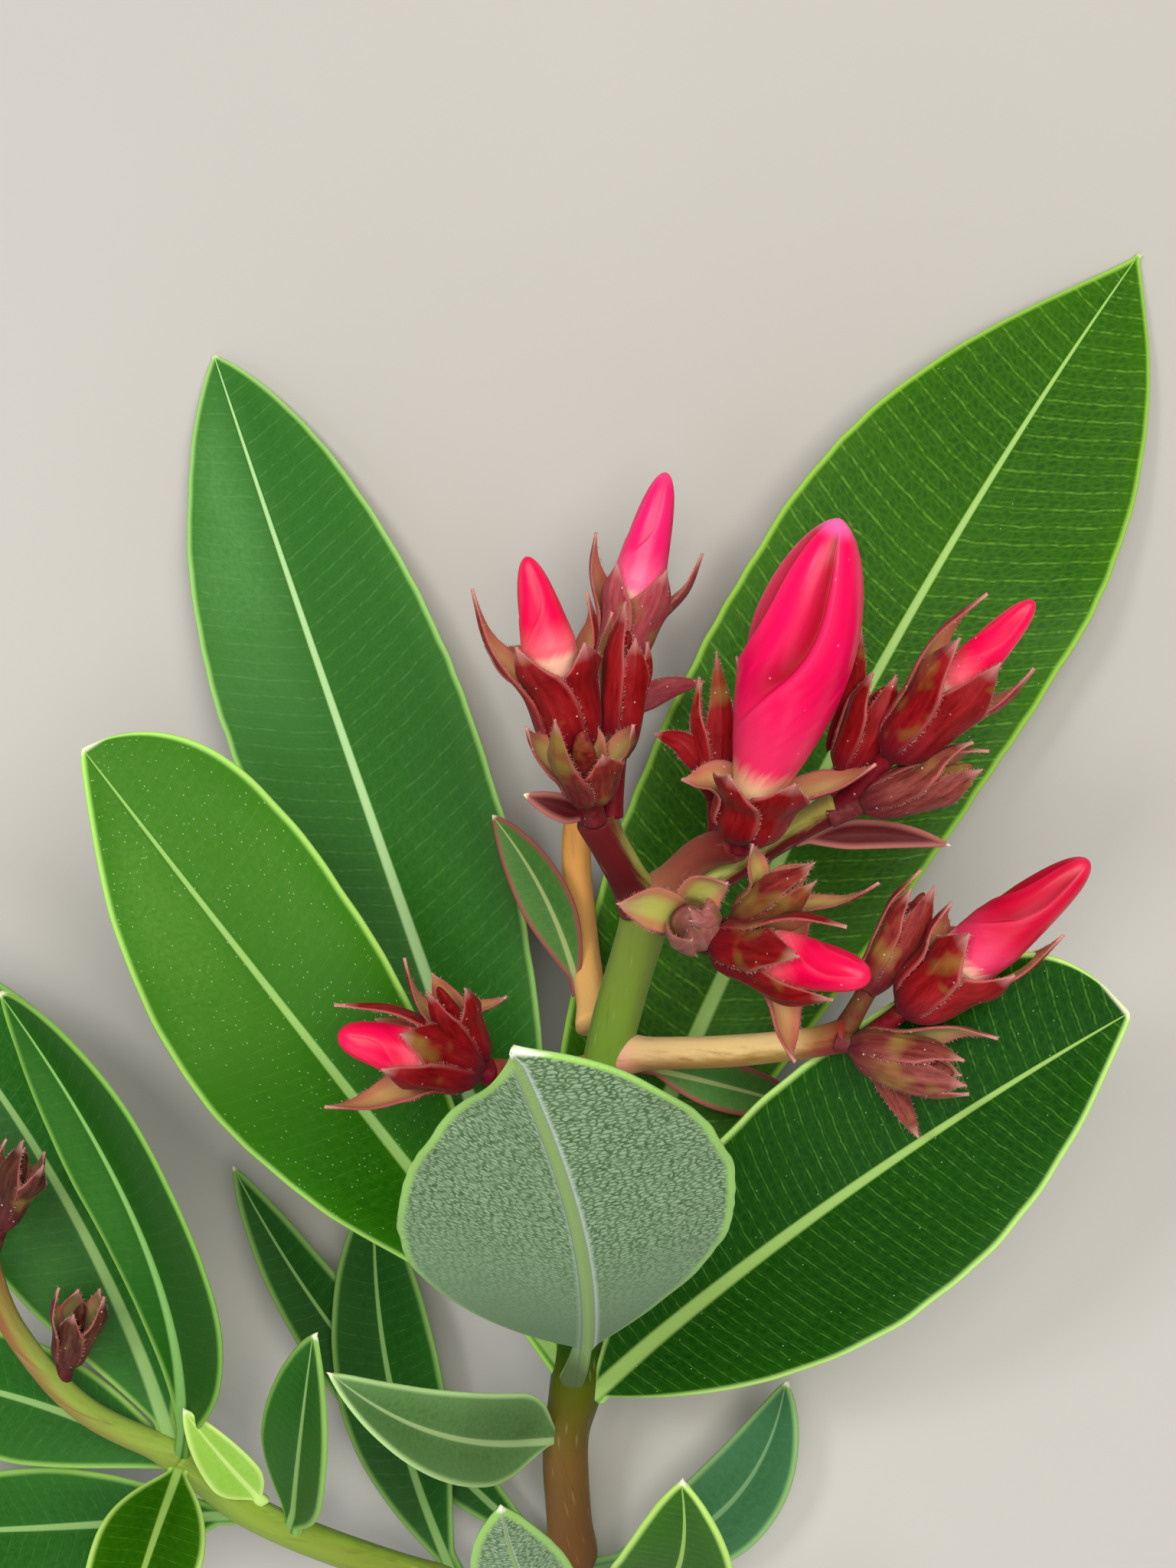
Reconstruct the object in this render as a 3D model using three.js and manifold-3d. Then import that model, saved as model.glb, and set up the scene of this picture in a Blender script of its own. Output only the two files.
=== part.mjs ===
// A flowering shoot of oleander, cut from the shrub and laid down. It rests on the tips of
// its two back leaves and on its cut end, so the whorl faces up and the front leaf stands up.
// Millimetres, +Z up. The shoot points along +Y, and z = 0 is the surface that it lies on.

import * as THREE from 'three';
import Module from 'manifold-3d';

const wasm = await Module();
wasm.setup();

// Every place below is measured from a point beside the shoot's middle. MIDDLE moves the
// origin to the centre of the shoot's box.
const MIDDLE = { x: -8.43, y: -14.79 };

const GAP = 0.3; // clear space where one piece meets another
const STALK_SIDES = 8;
const PETAL_SIDES = 8;
const STALK_STEPS = 3; // rings between two points of a stalk's line
const LEAF_STEPS = 12;
const LEAF_THICKNESS = 0.9; // at the midrib
const LEAF_THINNING = 0.6; // share of its thickness that a midrib has lost at the tip
const LEAF_TIP_SHARE = 0.02; // width left at a leaf's tip, as a share of its full width
const LEAF_POINT = 0.78; // a smaller power gives a leaf a blunter tip
const LEAF_HEEL = 1.15; // a smaller power gives it a fuller foot
const SKEW_POWER = 6; // how late along a leaf its skew sets in
const PETIOLE_HALF_WIDTH = 1.1;
const PETIOLE_THICKNESS = 1.6;
const PETIOLE_SHARE = 1 / 6; // share of the leaf over which the petiole thins into the blade
const SLIMMEST = 0.2; // a narrow leaf is no thicker than this share of its width
const TANGENT_STEP = 0.01;
const PEDICEL_RADIUS = 0.8;
const SEPALS = 5;
const SEPAL_THICKNESS = 0.6;
const SEAT = 0.45; // share of the calyx tube's height where the petals and the heart sit
const SEAT_SHARE = 0.35; // their radius there, as a share of the petals' or the calyx's own

// Stalks: their lines, with the radius at the start and at the end.
const STALKS = {
  main_stem: {
    line: [
      [-1.8, -77.2, 2],
      [-1.5, -68.3, 4.8],
      [-2.0, -57.2, 8.8],
      [-1.0, -50.7, 11.3],
      [0.1, -36.9, 15.8],
      [1.4, -22.9, 20.5],
      [4.9, -9.5, 25.5],
    ],
    radius: [2.0, 1.9],
  },
  left_stalk: {
    line: [[4.3, -9.5, 26], [1.9, -5.2, 28.5], [0.6, -2.7, 30]],
    radius: [1.6, 1.4],
  },
  back_stalk: {
    line: [[0.6, -19.9, 19], [-0.4, -13.3, 14], [-1, -4.9, 12], [0.3, 2.9, 12], [1.9, 8.1, 12.5]],
    radius: [1.3, 1.2],
  },
  middle_stalk: {
    line: [[5.7, -8.9, 26], [8.8, -5.6, 29], [11.5, -4.5, 31.5]],
    radius: [1.5, 1.3],
  },
  right_stalk: {
    line: [[6.8, -9.8, 26.5], [13.9, -5, 29], [19.4, -1.6, 31.6]],
    radius: [1.2, 1.1],
  },
  front_stalk: {
    line: [[6.1, -10.4, 27], [7.5, -11, 32], [9.1, -11.7, 36]],
    radius: [1.3, 1.1],
  },
  right_side_stalk: {
    line: [[2.9, -22, 21], [10.4, -21.2, 27], [16.7, -20.1, 31.5], [20.1, -19.1, 34.2]],
    radius: [1.35, 1.15],
  },
  left_side_stalk: {
    line: [[0, -23.5, 20.5], [-4.1, -23, 26], [-7.7, -22.6, 30]],
    radius: [1.1, 1.0],
  },
  side_shoot: {
    line: [
      [-1.8, -72.7, 3.6],
      [-11.2, -69.9, 6.5],
      [-19.7, -66.6, 9],
      [-28.4, -62, 12],
      [-34.5, -56.4, 14.5],
    ],
    radius: [1.5, 1.4],
  },
  side_shoot_end: {
    line: [[-34.5, -56.4, 14.5], [-41.9, -51.9, 17], [-46.9, -44.9, 20], [-49, -38.3, 22]],
    radius: [1.2, 0.9],
  },
};

// Leaves: foot and tip, the width, how far the middle of the line stands off the straight
// one (bow to its right, arch upwards), the roll of the blade at foot and tip, how steeply
// its halves fold up at foot and tip, where along it the blade is widest, and skew, the
// share of width that the left half gives to the right one at the tip; sway is the share
// that the right half gives to the left one at the foot. left is the left half's width as a
// share of the right half's, for a leaf that folds. point and heel are the powers that shape
// tip and foot, and base is where the blade starts along the petiole. Angles in degrees.
const LEAVES = {
  leaf_front: {
    foot: [-0.8, -50.8, 12], tip: [-4.5, -15.5, 80], width: 24.6, bow: 2.2, arch: 1,
    roll: [175, 201], fold: [14, 14], widest: 0.49, point: 0.7, heel: 0.54, base: 0.17,
    skew: -0.88, sway: -0.62,
  },
  leaf_left_low: {
    foot: [-1.5, -50.1, 11], tip: [-38.3, 2.7, 36], width: 18.9, bow: 0.1, arch: 1.5,
    roll: [0, 0], fold: [10, 14], widest: 0.64, point: 0.56, heel: 1.3, base: 0.06, skew: 0.69,
    sway: 0.34,
  },
  leaf_right_low: {
    foot: [0.5, -51.8, 11.5], tip: [40.6, -17.1, 38], width: 21.6, bow: -1.5, arch: 0.6,
    roll: [0, 0], fold: [12, 14], widest: 0.55, point: 0.45, heel: 0.8, skew: -0.75,
    sway: -0.18,
  },
  leaf_left_high: {
    foot: [-1.7, -50.3, 10], tip: [-33.5, 38.4, 0.2], width: 21.1, bow: -0.2, arch: 1.8,
    roll: [0, 0], fold: [8, 8], widest: 0.62, point: 0.84, heel: 1.35, skew: 0.11, sway: -0.5,
  },
  leaf_right_high: {
    foot: [-0.2, -43.8, 13], tip: [49.4, 47.5, 0.2], width: 28.2, bow: -3.3, arch: 0.8,
    roll: [0, 0], fold: [8, 8], widest: 0.64, point: 1.1, heel: 0.6, skew: 0.29, sway: 0.33,
  },
  bract_leaf_left: {
    foot: [-0.7, -17.6, 16.5], tip: [-8, -2.6, 15], width: 5, bow: 1, arch: 0.2, roll: [0, 20],
    fold: [25, 25], widest: 0.5,
  },
  bract_leaf_right: {
    foot: [4.2, -23.2, 19], tip: [18.3, -27, 17], width: 4.5, bow: -0.2, arch: 0.5,
    roll: [0, 0], fold: [20, 20], widest: 0.5,
  },
  leaf_curled: {
    foot: [-2.4, -56.2, 9], tip: [-19.4, -44.2, 38], width: 9.2, bow: -2.1, arch: 1,
    roll: [-20, -20], fold: [25, 35], widest: 0.34, sway: -0.4,
  },
  leaf_low_front: {
    foot: [-1.7, -74, 3.5], tip: [-6.2, -51.4, 48], width: 8.2, bow: -1, arch: 1.5,
    roll: [180, 180], fold: [15, 15], widest: 0.5,
  },
  leaf_low_right: {
    foot: [-0.6, -72.6, 4.5], tip: [6.9, -51.2, 42], width: 11, bow: 3.8, arch: 2,
    roll: [0, 0], fold: [15, 15], widest: 0.5,
  },
  leaf_low_side: {
    foot: [0, -68.9, 5], tip: [17.3, -51.9, 7], width: 8, bow: 4.6, arch: -1, roll: [0, 20],
    fold: [10, 10], widest: 0.5,
  },
  leaf_low_back: {
    foot: [-11.2, -69.9, 6.5], tip: [-18.6, -35, 6], width: 9.5, bow: -2.4, arch: -1,
    roll: [0, 0], fold: [10, 10], widest: 0.5,
  },
  leaf_low_left: {
    foot: [-2.2, -68.7, 4.5], tip: [-31, -33.4, 6], width: 7.2, bow: -2.7, arch: -1.2,
    roll: [0, 0], fold: [10, 10], widest: 0.5,
  },
  side_leaf_back: {
    foot: [-34.8, -55.7, 14.5], tip: [-60.4, -13.4, 12], width: 17, bow: 3.2, arch: 1.8,
    roll: [0, 0], fold: [12, 12], widest: 0.5,
  },
  side_leaf_folded: {
    foot: [-34.4, -55.9, 15], tip: [-45, -15.9, 34], width: 17, bow: 5, arch: 5.5,
    roll: [25, 25], fold: [30, 30], widest: 0.64, sway: -0.2, left: 0.42,
  },
  side_leaf_left: {
    foot: [-33, -58.2, 13.6], tip: [-66.7, -51.2, 6], width: 11, bow: 2.5, arch: 1,
    roll: [0, 0], fold: [12, 12], widest: 0.5,
  },
  side_leaf_low: {
    foot: [-29, -61.8, 12.2], tip: [-64.4, -65.6, 5], width: 11, bow: -0.3, arch: 0.5,
    roll: [0, 0], fold: [12, 12], widest: 0.5,
  },
  side_leaf_front: {
    foot: [-34.2, -57.2, 14.2], tip: [-37.5, -71, 32], width: 9.5, bow: 0, arch: 2,
    roll: [0, 0], fold: [20, 20], widest: 0.5,
  },
  side_leaf_edge: {
    foot: [-25.2, -63.9, 10.7], tip: [-20.9, -42.1, 34], width: 8.4, bow: 0, arch: 1,
    roll: [40, 40], fold: [14, 14], widest: 0.45,
  },
  side_leaf_young: {
    foot: [-27.6, -60.8, 12.5], tip: [-33, -51, 21], width: 5, bow: 0, arch: 0.5, roll: [0, 0],
    fold: [30, 30], widest: 0.4,
  },
  bract_left: {
    foot: [0.1, -2.6, 30], tip: [-5, -0.8, 32], width: 2.4, bow: 0, arch: 0.6, roll: [0, 0],
    fold: [20, 20], widest: 0.4,
  },
  bract_right: {
    foot: [16.3, -4.6, 29.5], tip: [28.2, -4.8, 31], width: 2.6, bow: -0.8, arch: 0.5,
    roll: [0, 0], fold: [25, 25], widest: 0.4,
  },
};

// Buds: where the pedicel starts, the way the bud points (bearing from +Y towards +X, pitch
// above level), its length, the radii of calyx and petals, and where along it the pedicel
// ends (neck), the calyx tube ends (rim) and the sepals end (tips). spread is how far the
// sepal tips stand from the bud's axis. A bud with no petals radius is still closed.
const BUDS = {
  left_bud: {
    foot: [0.2, -2.3, 30.5], bearing: -14, pitch: 20.6, length: 21.3, calyx: 2.7, petals: 2.1,
    neck: 0.25, rim: 0.62, tips: 0.84, spread: 3.8,
  },
  left_calyx_back: {
    foot: [1.9, -1.9, 30], bearing: 5, pitch: 14.9, length: 15.6, calyx: 1.7, petals: 0,
    neck: 0.29, rim: 0.75, tips: 1, spread: 1.3,
  },
  left_calyx_front: {
    foot: [0.5, -2.4, 31.5], bearing: -9, pitch: 40.6, length: 10, calyx: 2.3, petals: 0,
    neck: 0.2, rim: 0.55, tips: 1, spread: 3,
  },
  back_bud: {
    foot: [1.9, 8.1, 12.5], bearing: 14.5, pitch: 7.6, length: 18.8, calyx: 2.5, petals: 2.3,
    neck: 0.1, rim: 0.42, tips: 0.68, spread: 4.2,
  },
  big_bud: {
    foot: [11.8, -4.6, 32], bearing: 15.2, pitch: 25.9, length: 27.5, calyx: 3.05,
    petals: 4.15, neck: 0.02, rim: 0.2, tips: 0.3, spread: 6, widest: 0.5,
  },
  middle_calyx: {
    foot: [10.1, -5.1, 30], bearing: -1.6, pitch: 4.7, length: 12.3, calyx: 1.5, petals: 0,
    neck: 0.35, rim: 0.75, tips: 1, spread: 1.2,
  },
  right_calyx: {
    foot: [18.8, -1.2, 31], bearing: 24.5, pitch: 20.7, length: 11.3, calyx: 1.85, petals: 0,
    neck: 0.25, rim: 0.7, tips: 1, spread: 1.3,
  },
  right_bud: {
    foot: [20, -1.3, 32], bearing: 40.8, pitch: 27.2, length: 21.9, calyx: 2.55, petals: 1.75,
    neck: 0.25, rim: 0.58, tips: 0.82, spread: 3,
  },
  right_calyx_long: {
    foot: [19.3, -2.3, 32], bearing: 69.7, pitch: 18.7, length: 12.5, calyx: 1.85, petals: 0,
    neck: 0.2, rim: 0.7, tips: 1, spread: 1.2,
  },
  front_calyx: {
    foot: [7.5, -10.8, 33], bearing: 43, pitch: 84, length: 9, calyx: 2.1, petals: 0,
    neck: 0.25, rim: 0.6, tips: 1, spread: 3.6,
  },
  front_calyx_upper: {
    foot: [10.3, -11.1, 36], bearing: 50.8, pitch: 35.6, length: 10.3, calyx: 1.6, petals: 0,
    neck: 0.2, rim: 0.6, tips: 1, spread: 2,
  },
  front_bud: {
    foot: [9.3, -12, 36.5], bearing: 99.8, pitch: 40.5, length: 14.6, calyx: 2.3, petals: 2.1,
    neck: 0.05, rim: 0.42, tips: 0.75, spread: 4,
  },
  right_side_bud: {
    foot: [21.4, -19.4, 34.5], bearing: 47.3, pitch: 24.9, length: 22.5, calyx: 2.7,
    petals: 2.4, neck: 0.18, rim: 0.46, tips: 0.7, spread: 4.4, widest: 0.35,
  },
  right_side_calyx: {
    foot: [20, -18.2, 34], bearing: 27.7, pitch: 17.4, length: 13.3, calyx: 1.6, petals: 0,
    neck: 0.25, rim: 0.7, tips: 1, spread: 1.8,
  },
  right_side_calyx_low: {
    foot: [19.6, -19.7, 34.5], bearing: 105.3, pitch: 20.1, length: 10.2, calyx: 2.1,
    petals: 0, neck: 0.1, rim: 0.6, tips: 1, spread: 1,
  },
  left_side_bud: {
    foot: [-8.1, -22.5, 30.5], bearing: -72.4, pitch: 21.4, length: 12.3, calyx: 2.4,
    petals: 2.05, neck: 0.06, rim: 0.45, tips: 0.8, spread: 4,
  },
  left_side_calyx: {
    foot: [-7.8, -22.4, 30], bearing: -28.7, pitch: 23.8, length: 9.9, calyx: 1.6, petals: 0,
    neck: 0.15, rim: 0.6, tips: 1, spread: 2,
  },
  side_shoot_calyx: {
    foot: [-43.8, -50, 17.5], bearing: 19.4, pitch: 26.2, length: 10.2, calyx: 1.6, petals: 0,
    neck: 0.3, rim: 0.7, tips: 1, spread: 1.2,
  },
  side_shoot_end_calyx: {
    foot: [-48.9, -38.5, 21], bearing: 23.4, pitch: 20.3, length: 11.5, calyx: 1.6, petals: 0,
    neck: 0.3, rim: 0.7, tips: 1, spread: 1.2,
  },
};

// The rolled petals from the calyx's rim to their blunt point. They are widest at a share of
// that way: in young buds just over the calyx, in a bud about to open halfway up.
const PETAL_SHARES = [0, 0.12, 0.25, 0.4, 0.55, 0.7, 0.82, 0.91, 0.97, 1];
const PETAL_WIDEST = 0.15;
const PETAL_FOOT = [0.85, 0.35]; // radius at the rim: highest share, and how it falls with widest
const PETAL_FALL = 1.9; // powers of the rounded fall to the tip
const PETAL_BLUNT = 0.65;
const PETAL_TIP = 0.16;

const GREEN_STALK = { color: 0x7d9a3c, roughness: 0.6, metalness: 0 };
const TAN_STALK = { color: 0xb07c3a, roughness: 0.6, metalness: 0 };
const LEAF_GREEN = { color: 0x3f8a1c, roughness: 0.5, metalness: 0 };
const PETAL_PINK = { color: 0xe6245e, roughness: 0.55, metalness: 0 };
const CALYX_RED = { color: 0x8a2620, roughness: 0.6, metalness: 0 };

const UP = new THREE.Vector3(0, 0, 1);
const degrees = THREE.MathUtils.degToRad;
const vector = (place) => new THREE.Vector3(...place);

// A closed skin over rings of equal count, each anticlockwise about the way they run.
function skin(rings) {
  const count = rings[0].length;
  const points = rings.flat();
  const last = rings.length - 1;
  const middleOf = (ring) =>
    ring.reduce((sum, point) => sum.add(point), new THREE.Vector3()).divideScalar(ring.length);
  const start = points.push(middleOf(rings[0])) - 1;
  const end = points.push(middleOf(rings[last])) - 1;
  const faces = [];
  for (let i = 0; i < count; i += 1) {
    const next = (i + 1) % count;
    for (let row = 0; row < last; row += 1) {
      const here = row * count;
      const ahead = here + count;
      faces.push(here + i, here + next, ahead + i);
      faces.push(here + next, ahead + next, ahead + i);
    }
    faces.push(start, next, i);
    faces.push(end, last * count + i, last * count + next);
  }
  return { points: points.flatMap((point) => point.toArray()), faces };
}

function toSolid(surface) {
  return new wasm.Manifold(new wasm.Mesh({
    numProp: 3,
    vertProperties: new Float32Array(surface.points),
    triVerts: new Uint32Array(surface.faces),
  }));
}

// A ring about a point: radiusAt and heightAt give each corner's reach and step ahead.
function ringAbout(centre, ahead, side, sides, radiusAt, heightAt) {
  const up = new THREE.Vector3().crossVectors(ahead, side);
  return Array.from({ length: sides }, (_, i) => {
    const angle = (2 * Math.PI * i) / sides;
    return centre.clone()
      .addScaledVector(side, Math.cos(angle) * radiusAt(i))
      .addScaledVector(up, Math.sin(angle) * radiusAt(i))
      .addScaledVector(ahead, heightAt(i));
  });
}

// A round stalk along a smooth line, thinning evenly. The cut end is square to +Y.
function stalk({ line, radius }, grow, cutSquare) {
  const curve = new THREE.CatmullRomCurve3(line.map(vector), false, 'catmullrom', 0.5);
  const steps = (line.length - 1) * STALK_STEPS;
  let side = new THREE.Vector3(1, 0, 0);
  const rings = Array.from({ length: steps + 1 }, (_, i) => {
    const t = i / steps;
    const ahead = cutSquare && i === 0 ? new THREE.Vector3(0, 1, 0) : curve.getTangent(t);
    side = side.clone().addScaledVector(ahead, -side.dot(ahead)).normalize();
    const centre = curve.getPoint(t);
    if (i === 0) centre.addScaledVector(ahead, -grow);
    if (i === steps) centre.addScaledVector(ahead, grow);
    const reach = THREE.MathUtils.lerp(radius[0], radius[1], t) + grow;
    return ringAbout(centre, ahead, side, STALK_SIDES, () => reach, () => 0);
  });
  return skin(rings);
}

// The blade's half width: a spindle that is widest where the leaf says, running into the petiole.
function halfWidth(u, { width, widest, base = 0, point = LEAF_POINT, heel = LEAF_HEEL }) {
  const tipSwell = (u / widest) ** ((point * widest) / (1 - widest))
    * ((1 - u) / (1 - widest)) ** point;
  const climb = THREE.MathUtils.clamp((u - base) / (widest - base), 0, 1);
  const footSwell = Math.sin((Math.PI / 2) * climb) ** heel;
  const swell = u < widest ? footSwell : tipSwell;
  const petiole = Math.min(PETIOLE_HALF_WIDTH, width / 4) * (1 - u) ** 2;
  return Math.max((width / 2) * Math.max(swell, LEAF_TIP_SHARE), petiole);
}

// A leaf: sections across a bowed and arched midrib, each folded up into a shallow V.
function leaf(blade, grow) {
  const { foot, tip, width, bow, arch, roll, fold, skew = 0, sway = 0, left = 1 } = blade;
  const from = vector(foot);
  const chord = vector(tip).sub(from);
  const along = chord.clone().normalize();
  const right = new THREE.Vector3().crossVectors(along, UP).normalize();
  const above = new THREE.Vector3().crossVectors(right, along);
  const midrib = (u) => from.clone()
    .addScaledVector(chord, u)
    .addScaledVector(right, bow * 4 * u * (1 - u))
    .addScaledVector(above, arch * 4 * u * (1 - u));
  const rings = Array.from({ length: LEAF_STEPS + 1 }, (_, i) => {
    const u = i / LEAF_STEPS;
    const ahead = midrib(u + TANGENT_STEP).sub(midrib(u - TANGENT_STEP)).normalize();
    const level = right.clone().addScaledVector(ahead, -right.dot(ahead)).normalize();
    const turn = degrees(THREE.MathUtils.lerp(roll[0], roll[1], u));
    const rise = Math.sin(degrees(THREE.MathUtils.lerp(fold[0], fold[1], u)));
    const run = Math.cos(degrees(THREE.MathUtils.lerp(fold[0], fold[1], u)));
    const side = level.clone().applyAxisAngle(ahead, -turn);
    const up = new THREE.Vector3().crossVectors(side, ahead);
    const half = halfWidth(u, blade);
    const lean = skew * u ** SKEW_POWER - sway * (1 - u) ** 2;
    const reach = (v) => half * (v < 0 ? left : 1) * (1 + Math.sign(v) * lean) + grow;
    const blend = Math.min(1, u / PETIOLE_SHARE);
    const thick = THREE.MathUtils.lerp(PETIOLE_THICKNESS, LEAF_THICKNESS, blend);
    const slim = Math.min(thick, width * SLIMMEST) * (1 - LEAF_THINNING * u) + 2 * grow;
    const centre = midrib(u);
    if (i === 0) centre.addScaledVector(ahead, -grow);
    if (i === LEAF_STEPS) centre.addScaledVector(ahead, grow);
    const margin = (v) => centre.clone()
      .addScaledVector(side, v * reach(v) * run)
      .addScaledVector(up, reach(v) * rise);
    const rib = (face) => centre.clone().addScaledVector(up, (face * slim) / 2);
    return [margin(-1), rib(1), margin(1), rib(-1)];
  });
  return skin(rings);
}

function budAxes({ foot, bearing, pitch }) {
  const level = Math.cos(degrees(pitch));
  const ahead = new THREE.Vector3(
    Math.sin(degrees(bearing)) * level,
    Math.cos(degrees(bearing)) * level,
    Math.sin(degrees(pitch)),
  );
  const side = new THREE.Vector3().crossVectors(ahead, UP).normalize();
  return { ahead, side, from: vector(foot) };
}

function petalSwell(share, widest) {
  const foot = PETAL_FOOT[0] - PETAL_FOOT[1] * widest * 2;
  const rise = foot + (1 - foot) * Math.sin((Math.PI / 2) * Math.min(1, share / widest));
  const late = Math.max(0, (share - widest) / (1 - widest));
  const fall = Math.max(0, 1 - late ** PETAL_FALL) ** PETAL_BLUNT;
  return share < widest ? rise : Math.max(fall, PETAL_TIP);
}

// The rolled petals: a spindle that starts inside the calyx and ends in a blunt point.
function petals(bud, grow) {
  const { ahead, side, from } = budAxes(bud);
  const { neck, rim, widest = PETAL_WIDEST } = bud;
  const sections = PETAL_SHARES.map((share) => (
    [rim + share * (1 - rim), petalSwell(share, widest)]
  ));
  sections.unshift([neck + SEAT * (rim - neck), SEAT_SHARE]);
  const rings = sections.map(([share, swell], i) => {
    const push = i === 0 ? -grow : i === sections.length - 1 ? grow : 0;
    const centre = from.clone().addScaledVector(ahead, share * bud.length + push);
    const reach = swell * bud.petals + grow;
    return ringAbout(centre, ahead, side, PETAL_SIDES, () => reach, () => 0);
  });
  return skin(rings);
}

// The calyx: pedicel, swollen tube and five pointed sepals round a hollow or a closed heart.
function calyx(bud, grow) {
  const { ahead, side, from } = budAxes(bud);
  const { length, neck, rim, tips, spread } = bud;
  const tube = rim - neck;
  const pedicel = Math.min(PEDICEL_RADIUS, bud.calyx * 0.5);
  const isTip = (i) => i % 2 === 0;
  const ring = (share, reach) => {
    const centre = from.clone().addScaledVector(ahead, share * length);
    return ringAbout(centre, ahead, side, 2 * SEPALS, () => reach + grow, () => 0);
  };
  const crown = (tipReach, notchReach, tipShare, notchShare) => ringAbout(
    from, ahead, side, 2 * SEPALS,
    (i) => (isTip(i) ? tipReach : notchReach) + grow,
    (i) => (isTip(i) ? tipShare : notchShare) * length,
  );
  const innerTip = spread * 0.8 - SEPAL_THICKNESS * 0.3 - 2 * grow;
  const heart = bud.petals > 0
    ? ring(neck + SEAT * tube, bud.calyx * SEAT_SHARE)
    : ring(rim + 0.6 * (tips - rim), bud.calyx * 0.3);
  return skin([
    ring(-grow / length, pedicel),
    ring(neck, pedicel),
    ring(neck + 0.2 * tube, bud.calyx * 0.8),
    ring(neck + 0.6 * tube, bud.calyx),
    crown(bud.calyx * 0.98 + 0.1 * spread, bud.calyx * 0.9, rim + 0.3 * (tips - rim), rim),
    crown(spread, bud.calyx * 0.82, tips, rim + 0.02 * tube),
    crown(innerTip, bud.calyx * 0.6 - 2 * grow, tips * 0.985, rim - 0.03 * tube),
    heart,
  ]);
}

const shoot = new THREE.Group();
shoot.position.set(-MIDDLE.x, -MIDDLE.y, 0);
const placed = [];

function boxesMeet(a, b) {
  return a.min.every((low, i) => low < b.max[i]) && b.min.every((low, i) => low < a.max[i]);
}

// Adds one piece, cut back by GAP from everything placed before it.
function place(name, build, finish) {
  const whole = toSolid(build(0));
  const reach = whole.boundingBox();
  const cut = placed
    .filter((other) => boxesMeet(reach, other.box))
    .reduce((solid, other) => solid.subtract(other.grown), whole);
  const [largest] = cut.decompose().sort((a, b) => b.volume() - a.volume());
  const mesh = largest.getMesh();
  const geometry = new THREE.BufferGeometry();
  geometry.setAttribute('position', new THREE.BufferAttribute(mesh.vertProperties, 3));
  geometry.setIndex(new THREE.BufferAttribute(mesh.triVerts, 1));
  geometry.computeVertexNormals();
  const piece = new THREE.Mesh(geometry, new THREE.MeshStandardMaterial(finish));
  piece.name = name;
  shoot.add(piece);
  const grown = toSolid(build(GAP));
  placed.push({ grown, box: grown.boundingBox() });
}

for (const [name, limb] of Object.entries(STALKS)) {
  const cutSquare = name === 'main_stem';
  const finish = ['main_stem', 'side_shoot'].includes(name) ? GREEN_STALK : TAN_STALK;
  place(name, (grow) => stalk(limb, grow, cutSquare), finish);
}

for (const [name, bud] of Object.entries(BUDS)) {
  if (bud.petals > 0) place(`${name}_petals`, (grow) => petals(bud, grow), PETAL_PINK);
}

for (const [name, bud] of Object.entries(BUDS)) {
  const node = bud.petals > 0 ? `${name}_calyx` : name;
  place(node, (grow) => calyx(bud, grow), CALYX_RED);
}

for (const [name, blade] of Object.entries(LEAVES)) {
  place(name, (grow) => leaf(blade, grow), LEAF_GREEN);
}

export default shoot;
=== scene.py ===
# %% [markdown]
# # A cut oleander shoot in bud, modelled with numpy surfaces
#
# The real thing is a shoot as long as a hand: five leathery leaves in whorls, a branched head
# of pink buds in dark red calyces, and a small side shoot. It lies on a pale floor, and the
# camera looks straight down on it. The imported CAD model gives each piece's name and place. Every
# piece is made again here as a fine surface, because leaves and petals are all about curves.

import math

import bpy
import numpy as np
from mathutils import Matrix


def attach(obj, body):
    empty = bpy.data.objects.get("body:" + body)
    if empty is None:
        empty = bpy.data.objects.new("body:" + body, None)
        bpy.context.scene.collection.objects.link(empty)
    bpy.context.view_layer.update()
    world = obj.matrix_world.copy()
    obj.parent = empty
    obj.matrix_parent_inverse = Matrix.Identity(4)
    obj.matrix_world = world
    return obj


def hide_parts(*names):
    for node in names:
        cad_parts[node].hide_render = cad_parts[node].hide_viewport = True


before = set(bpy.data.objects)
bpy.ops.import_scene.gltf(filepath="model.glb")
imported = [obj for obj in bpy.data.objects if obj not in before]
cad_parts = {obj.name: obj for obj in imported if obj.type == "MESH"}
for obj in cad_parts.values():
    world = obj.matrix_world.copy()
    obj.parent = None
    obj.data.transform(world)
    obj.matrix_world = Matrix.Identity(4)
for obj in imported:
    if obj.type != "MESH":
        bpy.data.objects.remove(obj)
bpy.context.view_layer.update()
print("pieces in the frame:", len(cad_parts))

# %% [markdown]
# Sizes below are in millimetres, measured from the same point as in the CAD source, and MIDDLE
# moves them so that the origin is under the shoot's middle. Blender works in metres.

# %% Units and small helpers
MM = 0.001
MIDDLE = np.array([-8.43, -14.79, 0.0])
UP = np.array([0.0, 0.0, 1.0])


def linear(colour):
    """An sRGB hex colour as the linear RGBA that Blender's sockets take."""
    parts = np.array([int(colour[i:i + 2], 16) for i in (1, 3, 5)]) / 255
    low = parts / 12.92
    high = ((parts + 0.055) / 1.055) ** 2.4
    return (*np.where(parts <= 0.04045, low, high), 1.0)


def unit(vectors):
    """The same vectors at length one."""
    vectors = np.asarray(vectors, float)
    return vectors / np.linalg.norm(vectors, axis=-1, keepdims=True)


def blend(start, end, share):
    """A value that goes evenly from start to end as share goes from 0 to 1."""
    return start + (end - start) * share


def ease(low, high, value):
    """0 below low, 1 above high, and a smooth step between them: 3t^2 - 2t^3."""
    t = np.clip((value - low) / (high - low), 0, 1)
    return t * t * (3 - 2 * t)


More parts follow.
